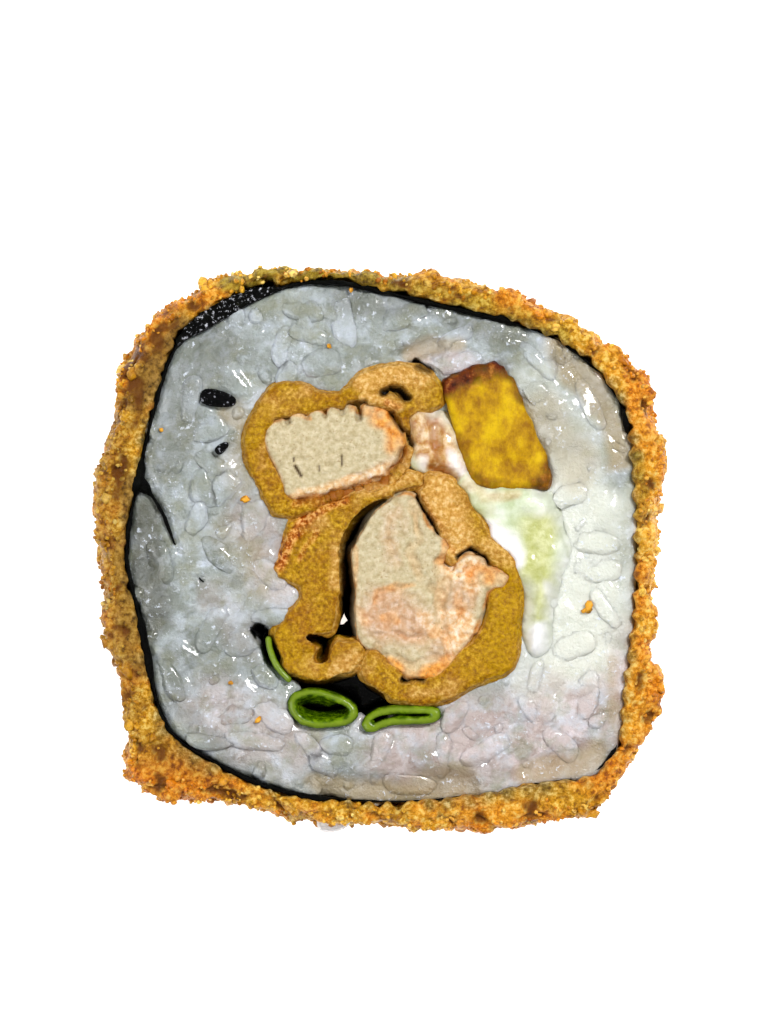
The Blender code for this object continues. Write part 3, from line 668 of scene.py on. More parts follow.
def make_rice_core(material):
    """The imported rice: grains in layers, pressed and cut into one soft mass."""
    piece = node_copy("rice")
    points = points_of(piece)
    points[:, 2] = np.clip(points[:, 2], RICE_FOOT + 0.2, RICE_FACE - 0.1)
    set_points(piece, points)
    remeshed(piece, CORE_VOXEL)
    points = points_of(piece)
    lift = 0.2 + 0.2 * layered_noise(points, 1.3, 3, 5) + 0.5 * marked(points, *NORI_THIN)
    lift += 0.25 * deeper(points, 0.9, 1.5)
    points += normals_of(piece) * lift[:, None]
    points[:, 2] -= marked(points, *RICE_DIPS) * near_face(points, 4, 1)
    set_points(piece, points)
    rng = random.Random(8)
    heap = Heap()
    lay_grains(heap, rng, 1, ((0.5, 1.2, 7000), (0.1, 1.15, 12000)))
    lay_grains(heap, rng, -1, ((0.1, 1.25, 8000),))
    melted(piece, heap, RICE_VOXEL)
    relaxed(piece, 1)
    points = points_of(piece)
    points += normals_of(piece) * (0.05 * layered_noise(points, 0.8, 2, 9))[:, None]
    points[:, 2] -= RICE_GAP_DEPTH * marked(points, *RICE_GAPS) * near_face(points, 4, 1.5)
    points = settled(piece, points)
    store(piece, shade=nearest_shades(heap, points))
    tint_rice(piece, points)
    finish_piece(piece, "rice", material, "rice")


GRAIN_RINGS = 9
GRAIN_SIDES = 11

# Grains that stand out on the upper face: place, turn in degrees, length, width and shade.
CLEAR_GRAINS = [
    ((-9.8, 20.2), 83, 4.7, 2.4, 1), ((-9.2, 17.7), 70, 3.5, 2.6, 0.9), ((-19.2, 15), 84, 5, 2.5, 0.9),
    ((-18.5, 3.1), 68, 3.8, 2.9, 0.9), ((-15.6, 6.3), 50, 3.9, 3.2, 0.6), ((-18, 6), 100, 3.8, 3, 0.5),
    ((-5.8, 18.5), 10, 4.3, 3.3, 0.6), ((-7.2, 21.6), -14, 4.2, 2.6, 0.7), ((-12.5, 2.8), 80, 5, 3.1, 0.6),
    ((-11.1, -6.6), 4, 4.4, 2.7, 0.8), ((-13.9, -9.3), 4, 4.4, 2.5, 0.7),
    ((-11.7, -12.8), -50, 3.2, 1.9, 0.7), ((-12.7, -19.2), -8, 6, 3, 0.7),
    ((-17, -19.2), -6, 4.5, 2.9, 0.6), ((-7.3, -19.8), -60, 3.8, 2.5, 0.9),
    ((-5.7, -21.3), -45, 4, 2.5, 1), ((-4.3, -19.6), -4, 3.6, 2.2, 0.8), ((7.4, 21.3), 24, 3.8, 2.6, 1),
    ((7, 18.7), 5, 6.4, 2.2, 0.8), ((16, 18.9), -42, 5.4, 3, 0.9), ((21, 14.6), -70, 5.8, 2.5, 0.8),
    ((15.6, -16.1), -42, 4, 2.7, 0.8), ((7.3, -16.9), 60, 3.6, 2.8, 0.4), ((10.6, -20.2), 24, 5.6, 2.8, 0.9),
    ((15.6, -12.8), 80, 3.6, 2.5, 0.5), ((20.4, -14.6), 78, 5.2, 2.8, 0.8), ((-17.4, 12.2), 20, 4, 2.8, 0.5),
]


def grain_shape():
    """The points and faces of one rice grain of length 1 and width 1, along X."""
    points = [(-0.5, 0.0, 0.0)]
    for k in range(1, GRAIN_RINGS):
        along = math.pi * k / GRAIN_RINGS
        x = -0.5 * math.copysign(abs(math.cos(along)) ** 0.85, math.cos(along))
        size = math.sin(along) ** 0.72
        for m in range(GRAIN_SIDES):
            turn = 2 * math.pi * m / GRAIN_SIDES
            ridge = 1 + 0.03 * math.cos(3 * turn)
            points.append((x, 0.5 * size * ridge * math.cos(turn), 0.5 * size * ridge * math.sin(turn)))
    points.append((0.5, 0.0, 0.0))
    faces = []
    last = len(points) - 1
    for m in range(GRAIN_SIDES):
        n = (m + 1) % GRAIN_SIDES
        faces.append((0, 1 + n, 1 + m))
        for k in range(GRAIN_RINGS - 2):
            a, b = 1 + k * GRAIN_SIDES, 1 + (k + 1) * GRAIN_SIDES
            faces.append((a + m, a + n, b + n))
            faces.append((a + m, b + n, b + m))
        top = 1 + (GRAIN_RINGS - 2) * GRAIN_SIDES
        faces.append((last, top + m, top + n))
    return np.array(points), np.array(faces)


GRAIN_POINTS, GRAIN_FACES = grain_shape()


class Heap:
    """Many small bodies gathered into one mesh."""

    def __init__(self):
        self.points = []
        self.faces = []
        self.values = {}
        self.count = 0

    def add(self, points, faces, **values):
        """Put one body on the heap, with a value for all of its points."""
        self.points.append(points)
        self.faces.append(faces + self.count)
        self.count += len(points)
        for name, value in values.items():
            filled = np.broadcast_to(np.asarray(value, float), (len(points),))
            self.values.setdefault(name, []).append(filled)

    def mesh(self, name):
        """The heap as one mesh."""
        mesh = bpy.data.meshes.new(name)
        points = np.concatenate(self.points) * MM
        mesh.from_pydata(points.tolist(), [], np.concatenate(self.faces).tolist())
        return mesh

    def piece(self, name):
        """The heap as one object, with its values."""
        made = new_object(name, self.mesh(name))
        store(made, **{value: np.concatenate(parts) for value, parts in self.values.items()})
        return made


def turned(points, turn, tilt=0.0, roll=0.0):
    """Points rolled about X, tilted about Y and turned about Z, in radians."""
    cr, sr = math.cos(roll), math.sin(roll)
    ct, st = math.cos(tilt), math.sin(tilt)
    cz, sz = math.cos(turn), math.sin(turn)
    x, y, z = points.T
    y, z = y * cr - z * sr, y * sr + z * cr
    x, z = x * ct - z * st, x * st + z * ct
    return np.stack([x * cz - y * sz, x * sz + y * cz, z], axis=1)


class Spots:
    """Places already taken on a face, kept in a grid so that a search is quick."""

    CELL = 3.0

    def __init__(self):
        self.grid = {}

    def near(self, x, y, reach):
        """Whether a taken place lies within reach."""
        i, j = int(x // self.CELL), int(y // self.CELL)
        for di, dj in product((-1, 0, 1), repeat=2):
            for px, py in self.grid.get((i + di, j + dj), ()):
                if (px - x) ** 2 + (py - y) ** 2 < reach * reach:
                    return True
        return False

    def take(self, x, y):
        """Mark a place as taken."""
        self.grid.setdefault((int(x // self.CELL), int(y // self.CELL)), []).append((x, y))


def grain_spots(x, y, turn, flat, width):
    """Places along a grain that is seen from above."""
    reach = max(0.0, (flat - width) / 2)
    ux, uy = math.cos(turn) * reach, math.sin(turn) * reach
    return [(x + ux * k, y + uy * k) for k in (-1, -0.5, 0, 0.5, 1)]


def off_seeds(x, y):
    """Whether a place lies clear of the sesame seeds."""
    return all(math.hypot(x - sx, (y - sy) * 1.3) > 1.6 + length / 6 for (sx, sy), _, length, _ in SEEDS)


def on_rice(spots):
    """Whether a grain over these places lies on the rice alone."""
    for px, py in spots[::2]:
        for dx, dy in ((0.4, 0), (-0.4, 0), (0, 0.4), (0, -0.4)):
            if not is_rice(px + dx, py + dy):
                return False
    return all(off_seeds(*spot) for spot in spots)


def pressed(height, level):
    """Heights above a level pushed down, as by the knife."""
    return np.minimum(height, level) + 0.25 * np.maximum(height - level, 0)


def lay_grain(heap, rng, place, turn, tilt, size, side, shade):
    """Put one grain on the heap, pressed level with its cut face."""
    points = GRAIN_POINTS * size
    points[:, 1] += rng.uniform(-0.06, 0.06) * points[:, 0] ** 2
    points = turned(points, turn, tilt, rng.uniform(0, 3))
    # Painted rim light: the grain is made paler around its middle, where its rim shows from above.
    painted_rim_glow = 0.45 * (1 - soft_step(np.abs(points[:, 2]), 0.15, 0.6))
    shift = rng.uniform(0, 90)
    points += 0.34 * np.stack([smooth_noise(points + shift + 30 * k, 1.3, 3) for k in range(3)], axis=1)
    points[:, 2] = pressed(points[:, 2] + place[2], 0.4)
    points += (place[0], place[1], 0)
    if side > 0:
        points[:, 2] -= marked(points, *RICE_DIPS) + RICE_GAP_DEPTH * marked(points, *RICE_GAPS)
    points[:, 2] = RICE_FACE + points[:, 2] if side > 0 else RICE_FOOT - points[:, 2]
    faces = GRAIN_FACES if side > 0 else GRAIN_FACES[:, ::-1]
    heap.add(points, faces, shade=0.7 * shade + painted_rim_glow)


def lay_grains(heap, rng, side, layers, clear=()):
    """Lay rice grains over one cut face: side is 1 on the upper face and -1 on the lower."""
    for drop, spacing, tries in layers:
        taken = Spots()
        for (x, y), degrees, length, width, shade in clear:
            turn = math.radians(degrees)
            for spot in grain_spots(x, y, turn, length, width):
                taken.take(*spot)
            lay_grain(heap, rng, (x, y, 0.02), turn, 0.0, (length, width, 1.9), side, shade)
        for _ in range(tries):
            x, y = rng.uniform(-25.6, 25.8), rng.uniform(-25.8, 27.0)
            turn = rng.uniform(0, 2 * math.pi)
            tilt = rng.uniform(0.5, 1.3) if rng.random() < 0.35 else rng.uniform(-0.25, 0.25)
            length = rng.uniform(4.6, 6.0)
            width = rng.uniform(2.3, 2.9)
            spots = grain_spots(x, y, turn, length * math.cos(tilt), width)
            if any(taken.near(px, py, spacing) for px, py in spots) or not on_rice(spots):
                continue
            for spot in spots:
                taken.take(*spot)
            low = -0.42 * length * math.sin(abs(tilt)) if abs(tilt) > 0.3 else -0.1
            place = (x, y, rng.uniform(-0.3, 0.12) - drop + low)
            size = (length, width, rng.uniform(1.9, 2.3))
            lay_grain(heap, rng, place, turn, tilt, size, side, rng.random())


def make_rice_grains(material):
    """The grains that lie clear on the soft mass of both cut faces."""
    rng = random.Random(4)
    heap = Heap()
    lay_grains(heap, rng, 1, ((0, 2.0, 6000),), CLEAR_GRAINS)
    lay_grains(heap, rng, -1, ((0, 1.9, 6000),))
    piece = heap.piece("rice_grains")
    tint_rice(piece, settled(piece, points_of(piece)))
    finish_piece(piece, "rice", material)


# Peach crests, partly peach colour and partly painted highlight.
BATTER_PEACH_AND_HIGHLIGHTS = [
    (1.8, 0.9, (-1.5, 17), (1.5, 17.8), (4.4, 16.8)), (1, 0.9, (-2.5, 5.7), (1.5, 6.6), (3.2, 7.4)),
    (2.8, 1, (5.5, 6), (7, 3.2), (7.4, 0.6)), (1, 0.6, (-4.6, 0.5), (-4.4, -3.5)),
    (1.2, 0.7, (-4.6, -12.2), (-2.6, -10.6)), (1.4, 0.6, (10.5, 0.4), (12.6, -1)),
    (0.9, 0.5, (3, -14.4), (6.4, -14)), (0.8, 0.8, (2.4, 8.2), (3.1, 11)),
]
BATTER_AMBER = [
    (2.4, 1, (12.6, -3), (12.4, -8), (11.4, -11.2)), (1, 0.6, (-12.6, 8.4), (-12.8, 11.4), (-11.4, 14.4)),
    (1.6, 0.7, (-9.6, -8.6), (-9.4, -10.6), (-7.6, -12.4)), (1.2, 0.6, (8.6, -12.6), (10.8, -11.8)),
    (1.4, 0.5, (4.8, 15), (5.6, 16.2)),
]
BATTER_STREAKS = [
    (0.8, 0.9, (-3.6, 4.9), (-6.4, 3.9), (-7.6, 2.4)), (0.9, 1, (-7.4, 3.2), (-9.2, 1), (-10.6, -1.8)),
    (0.5, 0.6, (-6.6, 2), (-8, -0.6)), (0.5, 0.6, (0.8, 14.6), (1.8, 14.2)),
    (0.4, 0.5, (3.6, 6.2), (5.4, 3), (7.4, 0)), (0.5, 0.5, (-9, 4.6), (-6, 4.9)),
]

# The seam between two folds of batter, its raised knob, its recesses with brown painted shade and its hollows
# with black painted shade.
BATTER_SEAM = [(1.3, 1, (-11.6, 3), (-8, 4.2), (-3, 5.3), (2.4, 7.4))]
BATTER_KNOB = [(0.9, 1, (-1.6, 15.2), (0.2, 14.9), (1.8, 14.4))]
BATTER_RECESS = [
    (0.6, 1, (-8.1, 5), (-6.2, 5.2), (-4.6, 5.7)), (0.7, 1, (-3.8, 5.8), (-2, 6.3), (0.4, 7.1)),
    (0.7, 1, (0.9, 7.6), (1.8, 8.8), (2.3, 9.9)),
]
BATTER_BLACK = [
    (0.6, 1, (0.2, 15.7), (1, 16.1), (1.9, 16), (2.7, 15.2)), (0.4, 0.8, (-1.6, 14.8), (-3.2, 14.6)),
]

# Narrow gaps between the fillings, at the upper face, cut down and painted black as shade.
SLITS = [
    (0.55, 1, (1.1, 13.6), (1.8, 12.5), (2.5, 11.5), (3.1, 10.6)), (0.7, 1, (3.7, 18.3), (4.7, 17.8)),
    (0.4, 1, (1.5, 5.6), (3.2, 6.2)), (0.45, 1, (3.3, 6.1), (4.2, 4.1), (4.9, 3), (5.7, 1.7)),
    (0.4, 1, (7.7, -0.7), (9, 0.1), (10.4, -0.7), (10.8, -1.4)), (0.5, 1, (2.2, -13), (4.2, -13.1)),
    (0.3, 0.7, (-10.6, 13), (-9.2, 13.4)),
]

# Wide hollows, where the fillings shrink back; deep down they are painted black as shade.
HOLLOWS = [
    (1.7, 1, (-0.2, 4.6), (-2.8, 2.2), (-3.7, -1), (-3.4, -5), (-3.2, -8)),
    (1.1, 1, (-7, -8.9), (-5.4, -9.2), (-6, -10.8)), (1.3, 1, (-12, -8.1), (-10.8, -10.8)),
    (1.4, 0.8, (-7.9, -12.8), (-4.1, -13.3), (-0.2, -14.6)),
]


def open_sides(points, normals):
    """How far the walls beside the wide hollows shrink back near the upper face."""
    walls = 1 - soft_step(np.abs(normals[:, 2]), 0.5, 0.9)
    return near_face(points, 3, 1.8) * walls * marked(points, *HOLLOWS)


def make_batter(node, material):
    """Fried batter with soft lumps and a few pores, from its CAD node."""
    piece, points, normals = reworked(node, BATTER_VOXEL, 3)
    upper = near_face(points, 1.5, 0.3)
    strayed = warped(points)
    lumps = layered_noise(points, 2.2, 4, 21) + 0.35 * layered_noise(points, 0.6, 2, 27)
    streak = marked(strayed, *BATTER_STREAKS) * (0.8 + 0.6 * smooth_noise(points, 0.7, 24))
    recess = marked(points, *BATTER_RECESS)
    black = marked(points, *BATTER_BLACK, *SLITS) * upper
    lift = 0.24 + 0.34 * lumps - 0.25 * streak + 0.34 * deeper(points, 0.3, 1)
    lift += 0.22 * marked(points, *BATTER_SEAM) - 0.75 * open_sides(points, normals)
    points += normals * lift[:, None]
    points[:, 2] += upper * (0.5 * marked(points, *BATTER_KNOB) - 0.6 * recess - 1.2 * black)
    points = settled(piece, points)
    peach = marked(strayed, *BATTER_PEACH_AND_HIGHLIGHTS)
    patches = 0.6 * soft_step(layered_noise(points, 2.4, 3, 23), 0, 0.5)
    # Painted rim light: paler where the upper edge turns down.
    edge = 0.6 * upper * (1 - soft_step(normals_of(piece)[:, 2], 0.3, 0.9))
    knob = marked(points, *BATTER_KNOB)
    # deep is black painted shade; pale holds peach crests, partly painted highlight, and a painted rim light.
    store(piece, deep=np.maximum(deeper(points, 1.2, 3), black),
          pale=np.maximum.reduce([peach, patches, edge, knob]),
          amber=marked(strayed, *BATTER_AMBER), streak=np.clip(streak, 0, 1), recess=recess)
    finish_piece(piece, "batter", material, node)


CHICKEN_CRACKS = [
    (0.2, 1, (-8.6, 8.4), (-8, 7.4)), (0.16, 0.9, (-8.75, 9.2), (-8.7, 8.9)),
    (0.16, 0.7, (-6.2, 8.4), (-6.2, 7.9)), (0.17, 0.9, (-3.95, 9.4), (-3.9, 8.5)),
]
CHICKEN_NOTCHES = [
    (0.45, 0.8, (-9.4, 13.3), (-9.3, 12.8)), (0.4, 0.6, (-7.4, 13.8), (-7.4, 13.3)),
    (0.4, 0.6, (-5.6, 13.9), (-5.6, 13.4)), (0.4, 0.6, (-3.9, 14.2), (-3.9, 13.7)),
    (0.5, 1, (-2.2, 14), (-2.2, 13.2)),
]
CHICKEN_TORN = [
    (1.4, 0.9, (7.2, -2.2), (8.4, -1.6), (9, -3.4)), (1.4, 0.8, (7, -6.4), (8.8, -7.2), (6.8, -9.4)),
    (1.2, 0.5, (4.4, -6.6), (5.2, -8.4)), (0.8, 0.7, (-8.6, 5.6), (-3, 6.9), (0.4, 8.2)),
]
CHICKEN_BROWNED = [
    (1.9, 1, (0.4, 13.6), (1.4, 12), (1.6, 10.6)), (0.7, 0.6, (-2.8, 13.8), (-0.6, 13.6)),
    (0.4, 0.6, (-9.6, 5.3), (-3.4, 6.1), (0.2, 7.2)), (0.4, 0.7, (-11.2, 12.2), (-9, 13.3), (-7, 13.2)),
    (1, 1, (0.8, -11.4), (3.2, -12.5), (5.6, -12.2), (6.8, -10.8)), (1.3, 0.8, (9, -2.6), (12, -2.8)),
    (0.7, 0.6, (-0.6, -4.6), (1.2, -4), (3, -3.6)), (1, 0.4, (-2.2, -6.2), (-1.4, -7)),
    (0.7, 0.7, (0.6, -6.6), (1.4, -7.2)), (0.8, 0.5, (7.6, -4.6), (8, -6.6)),
    (0.9, 0.5, (4.8, -8.6), (6.4, -8)), (0.8, 0.7, (6.8, 1.6), (6.2, -1)),
    (0.5, 0.6, (-2.9, 0.4), (-2.8, -4)),
]
CHICKEN_PINK = [
    (3.6, 1, (0, -6.2), (3, -7.4)), (2.6, 0.8, (8.4, -2.4), (7.6, -6.4)),
    (2, 0.7, (5.6, -10.2), (7.2, -8.6)), (1.4, 0.4, (1.4, 3.6), (1, -1)),
    (1.2, 0.6, (-3, 6.8), (1, 8.4)),
]
CHICKEN_FOLDS = [
    (0.8, 0.6, (3.5, 4.4), (3.5, 2.2), (3.8, 1.2), (3.2, -0.4), (3.6, -1.8), (4.2, -3)),
    (0.8, 0.5, (-0.6, -5.2), (0.8, -4.4), (2.2, -4.3), (3.6, -3.3), (5.6, -3.4)),
    (0.7, 0.8, (6, -1), (6.3, -3.2), (5.8, -5.2), (6.4, -7.4), (5.8, -9), (6.8, -10.4)),
    (0.7, 0.4, (0.2, -5.6), (0.6, -7.5), (-0.2, -9.6)), (0.7, 0.5, (8.6, -1.4), (8.9, -3.4), (9.4, -5.2)),
    (0.6, 0.5, (0.6, -10.6), (3.2, -11.4), (5.8, -11.2)), (0.5, 0.25, (1.4, 4.6), (1, 1), (1.5, -2.4)),
    (0.6, 0.4, (2.2, -8.4), (4.8, -9.4)), (0.5, 0.4, (7.2, -5), (8.6, -7.6)),
]


def make_chicken(node, material):
    """Cooked chicken with its fibres, folds and cracks, from its CAD node."""
    piece, points, normals = reworked(node, CHICKEN_VOXEL, 2)
    upper = near_face(points, 1.5, 0.3)
    strayed = warped(points, 0.7, 1.4)
    fold = marked(strayed, *CHICKEN_FOLDS) * (0.8 + 0.6 * smooth_noise(points, 1.1, 37))
    crack = marked(points, *CHICKEN_CRACKS)
    notch = marked(points, *CHICKEN_NOTCHES)
    pink = marked(strayed, *CHICKEN_PINK)
    torn = marked(strayed, *CHICKEN_TORN)
    slit = marked(points, *SLITS) * upper
    recess = marked(points, *BATTER_RECESS) * upper
    shredded = 1 + 1.6 * pink + 2 * torn
    lift = 0.2 + shredded * (0.14 * layered_noise(points, 1.6, 3, 31) + 0.08 * smooth_noise(points, 0.5, 35))
    lift += 0.26 * deeper(points, 0.3, 1) - 0.5 * open_sides(points, normals) - 0.3 * notch
    points += normals * lift[:, None]
    points[:, 2] -= upper * (0.7 * fold + 0.4 * crack + 0.55 * notch + 1.2 * slit + 0.5 * recess)
    points = settled(piece, points)
    brown = marked(strayed, *CHICKEN_BROWNED) * np.clip(0.75 + 0.6 * smooth_noise(points, 0.9, 36), 0, 1)
    edge = upper * (1 - soft_step(normals[:, 2], 0.35, 0.95))
    edge *= np.clip(0.5 + 0.8 * smooth_noise(points, 1.3, 38), 0, 0.8)
    # deep and crack are painted shade; along the folds, browned is painted crease shade.
    store(piece, deep=np.maximum(deeper(points, 1.2, 3), slit), pink=pink, torn=torn,
          crack=np.maximum.reduce([crack, 0.4 * notch, 0.6 * recess]),
          browned=np.maximum.reduce([brown, edge, np.clip(0.3 * fold, 0, 1)]))
    finish_piece(piece, "chicken", material, node)


POTATO_SKIN = [
    (1.7, 1, (6, 16), (7.4, 17), (9.4, 17.9), (11.4, 18.4), (12.4, 18)), (0.8, 0.8, (13, 17.2), (14.2, 15)),
    (1.2, 0.8, (16.7, 8.4), (17, 6.8), (15.4, 6.4)),
    (0.6, 0.5, (7.6, 11.4), (8.6, 8), (10.4, 6.5), (14.6, 6.3)),
]


def make_potato(material):
    """The wedge of sweet potato, with long fibres and a shrivelled skin."""
    piece, points, normals = reworked("sweet_potato", FILLING_VOXEL, 2)
    fibres = layered_noise(points * (1, 0.5, 0.5), 1.4, 3, 41)
    skin = marked(warped(points), *POTATO_SKIN) * (0.9 + 0.4 * smooth_noise(points, 0.9, 42))
    shrivelled = 0.4 * skin * layered_noise(points, 0.8, 2, 43)
    points += normals * (0.26 + 0.3 * fibres + shrivelled)[:, None]
    points = settled(piece, points)
    # browned holds the skin and brown painted shade below the face.
    store(piece, browned=np.clip(np.maximum(skin, 0.7 * deeper(points, 0.9, 1.8)), 0, 1))
    finish_piece(piece, "sweet_potato", material, "sweet_potato")


CREAM_BROWNED = [
    (0.5, 0.7, (5.4, 12.8), (5.3, 11.2), (5.5, 9.6), (6.4, 8.4)), (0.7, 1, (5, 8), (6.2, 7.6), (7.2, 7.2)),
    (0.4, 0.5, (4.6, 12.4), (3.8, 11.4)),
]
CREAM_BEIGE = [(3.2, 1, (4.6, 13.4), (4.8, 11), (6, 9)), (0.8, 0.5, (8.6, 7.2), (10.2, 5.4), (13, 5.6))]
CREAM_GREEN = [(3.4, 0.85, (15.8, 1.6), (15.4, -1.4), (15.8, -5.6)), (1.6, 0.4, (8.4, 5), (11, 4.4))]
CREAM_MILKY = [
    (1.6, 1, (11.6, 2), (12.8, 0), (13.2, -1.6)), (0.8, 0.5, (3.6, 8.6), (4.2, 9.4)),
    (2, 1, (16, -8.8), (15.8, -10)), (0.8, 0.6, (6.8, 9.6), (7.4, 8.2)), (0.9, 0.6, (17, -4), (17.2, -6.4)),
]
CREAM_LUMP = [(1.6, 0.5, (16, -8.8), (15.9, -9.8))]
CREAM_DENTS = [(0.9, 0.9, (5.2, 8), (7.2, 7.2)), (0.8, 0.5, (5.6, 10.4), (5.4, 12.2))]


def make_cream(material):
    """The creamy sauce, with soft swells and edges that thin out over the rice."""
    piece, points, normals = reworked("cream", FILLING_VOXEL, 20)
    _, gap = nearest_in(near_points("rice", lambda p: p.z > FACE - 6), points)
    ricy = 1 - soft_step(gap, 0.3, 2.2)
    swell = 0.5 + 0.4 * smooth_noise(points, 2.6, 51) + 0.3 * layered_noise(points, 1.2, 3, 52)
    swell += 0.2 * deeper(points, 0.8, 1.6)
    swell += marked(points, *CREAM_LUMP) * soft_step(normals[:, 2], 0, 0.6)
    points += normals * swell[:, None]
    points[:, 2] -= (0.25 + marked(points, *CREAM_DENTS) + 0.8 * ricy) * near_face(points, 2, 0)
    points = settled(piece, points)
    paint(piece, warped(points), browned=CREAM_BROWNED)
    paint(piece, warped(points, 0.8, 2), beige=CREAM_BEIGE, green=CREAM_GREEN, milky=CREAM_MILKY)
    # deep is painted shade, deep down and in the slits.
    slit = marked(points, *SLITS) * near_face(points, 2, 1)
    store(piece, ricy=0.85 * ricy, deep=np.maximum(deeper(points, 1.8, 4.5), slit))
    finish_piece(piece, "cream", material, "cream")


# The scallion pieces, with the middle of each tube, towards which its walls lean.
SCALLIONS = {"scallion_left": (-5.6, -15.4), "scallion_right": (2.2, -16.5), "scallion_strip": None}


def make_scallion(node, middle, material):
    """A flattened scallion tube, whose walls lean inwards, or the thin strip."""
    piece, points, normals = reworked(node, SCALLION_VOXEL, 3)
    points += normals * (0.12 + 0.05 * smooth_noise(points, 1.2, 61))[:, None]
    facing = np.zeros(len(points))
    if middle:
        inward = np.array(middle) - points[:, :2]
        facing = soft_step((inward * normals[:, :2]).sum(1) / np.hypot(*inward.T), 0, 0.4)
        lean = facing * np.clip(depth_below(points), 0, 2.5) * 0.34
        points[:, 1] += lean * np.sign(inward[:, 1]) * np.minimum(1, np.abs(inward[:, 1]) / 0.4)
    points = settled(piece, points)
    rim = 0.8 * soft_step(0.2 - depth_below(points), 0, 0.3) * (1 - facing)
    # deep is painted shade.
    store(piece, rim=rim, deep=deeper(points, 1.2, 3.2))
    finish_piece(piece, "scallion", material, node)


# Where the sheet ends taper, with the way out of the loop, and where its edge is wide, thin or has painted
# glints.
NORI_ENDS = [((-20.9, 20.9), (-0.7, 0.71)), ((-10.5, 26.6), (-0.35, 0.94))]
NORI_WIDE = [
    (1.7, 0.5, (-24.3, 7.6), (-24, 6.6)), (0.8, 0.3, (-8, -25.2), (-6.5, -25.2)),
    (1.2, 0.3, (24.9, 13.4), (24.6, 12.2)), (1.4, 0.25, (-24.2, -7.6), (-23.4, -12)),
    (1.2, 0.22, (8.5, 24.4), (12.5, 23.4)), (1.2, 0.2, (-19, 22.2), (-15, 24.6)),
]
NORI_THIN = [
    (1.2, 1, (-20.6, -0.4), (-18.8, -2.2)), (1.2, 0.7, (-17.4, -3.8), (-13, -7.8)),
    (1.6, 1, (25.2, 11), (25.4, 2), (25, -9), (24.2, -17), (20, -22.2)),
    (1.6, 0.8, (-4, -25.6), (2, -25.4), (14, -23.8), (20, -22.2)),
    (1.4, 0.6, (14, 23.4), (20, 19.8), (23.6, 15)), (1.2, 0.4, (-24.2, 14), (-22.8, 18)),
]
NORI_PAINTED_GLINTS = [(1.6, 1, (-19.5, 21.6), (-14.4, 25.2), (-11, 26.8))]


def make_nori(material):
    """The seaweed sheet, with a wrinkled, uneven edge."""
    piece, points, normals = reworked("nori", NORI_VOXEL, 0)
    for (x, y), (nx, ny) in NORI_ENDS:
        out = (points[:, 0] - x) * nx + (points[:, 1] - y) * ny
        pull = marked(points, (2.4, 1, (x, y))) * np.clip(out, 0, 0.8)
        points[:, :2] -= pull[:, None] * (nx, ny)
    wrinkle = 0.26 * layered_noise(points, 2.2, 3, 71) - 0.05
    thin = marked(points, *NORI_THIN)
    swell = np.clip(wrinkle + marked(points, *NORI_WIDE) - 0.2 * thin, -0.16, 1)
    shown = near_face(points, 3, 1)
    points += normals * (shown * swell - 0.14 * (1 - shown))[:, None]
    ragged = 0.55 * layered_noise(points * (1, 1, 0), 2.2, 3, 72) - 0.9 * thin
    points[:, 2] += near_face(points, 2, 0.4) * ragged
    points = settled(piece, points, HIGHEST - 0.3)
    # The painted glints on the overlap.
    paint(piece, points, flecked=NORI_PAINTED_GLINTS)
    finish_piece(piece, "nori", material, "nori")


CRUST_RIPE = [
    (4, 0.9, (-23, -22.5), (-18, -23)), (3.4, 0.8, (26.5, 14), (25.6, 18)),
    (3.4, 0.7, (27, -11), (26.6, -17), (23, -22)), (3, 0.6, (9, -27), (15, -26.8)),
    (2.6, 0.7, (13, 25.6), (15.5, 24.4)), (2.6, 0.6, (-20.5, 24), (-23.5, 20.5)),
    (1.6, 0.6, (27.6, 9), (27.6, 6)),
]
CRUST_OLIVE = [
    (1.5, 0.8, (-15, 26.8), (-10, 28), (-4, 27.4), (2, 27)), (1, 0.5, (26, 9), (25.8, 4)),
    (1.2, 0.5, (4, 26), (12, 24.6), (18, 21.8)),
]
# Painted shade on the coat.
CRUST_SHADED = [
    (2.4, 0.45, (-26.4, 12), (-27, 7), (-27, -8), (-25, -16)),
    (2.4, 0.9, (-24.4, 15), (-22.6, 18.4), (-19.6, 21.8)), (1.5, 0.8, (-25.4, 7), (-25.8, -4), (-24.4, -12)),
    (3, 0.4, (-22.6, -20), (-17, -21.6)), (1.2, 0.3, (-2, 26.8), (6, 26.6)),
]
# Painted light on the coat.
CRUST_PAINTED_LIGHT = [
    (1.6, 0.8, (27.4, 8), (27.4, 0), (27.2, -8)), (1.8, 0.6, (25.6, -12), (25, -18)),
    (1.4, 0.5, (4, -26.8), (14, -26.2)), (1.6, 0.4, (20, 20.6), (23, 17.4)),
    (1.2, 0.4, (25.8, 14), (26.4, 8)),
]


def beside_nori(piece, nori):
    """How far each point lies from the seaweed, and whether its surface faces away from it."""
    points = points_of(piece)
    spots, gap = nearest_in(nori, points)
    away = points[:, :2] - spots
    return gap, (away * normals_of(piece)[:, :2]).sum(1) > 0.3 * gap


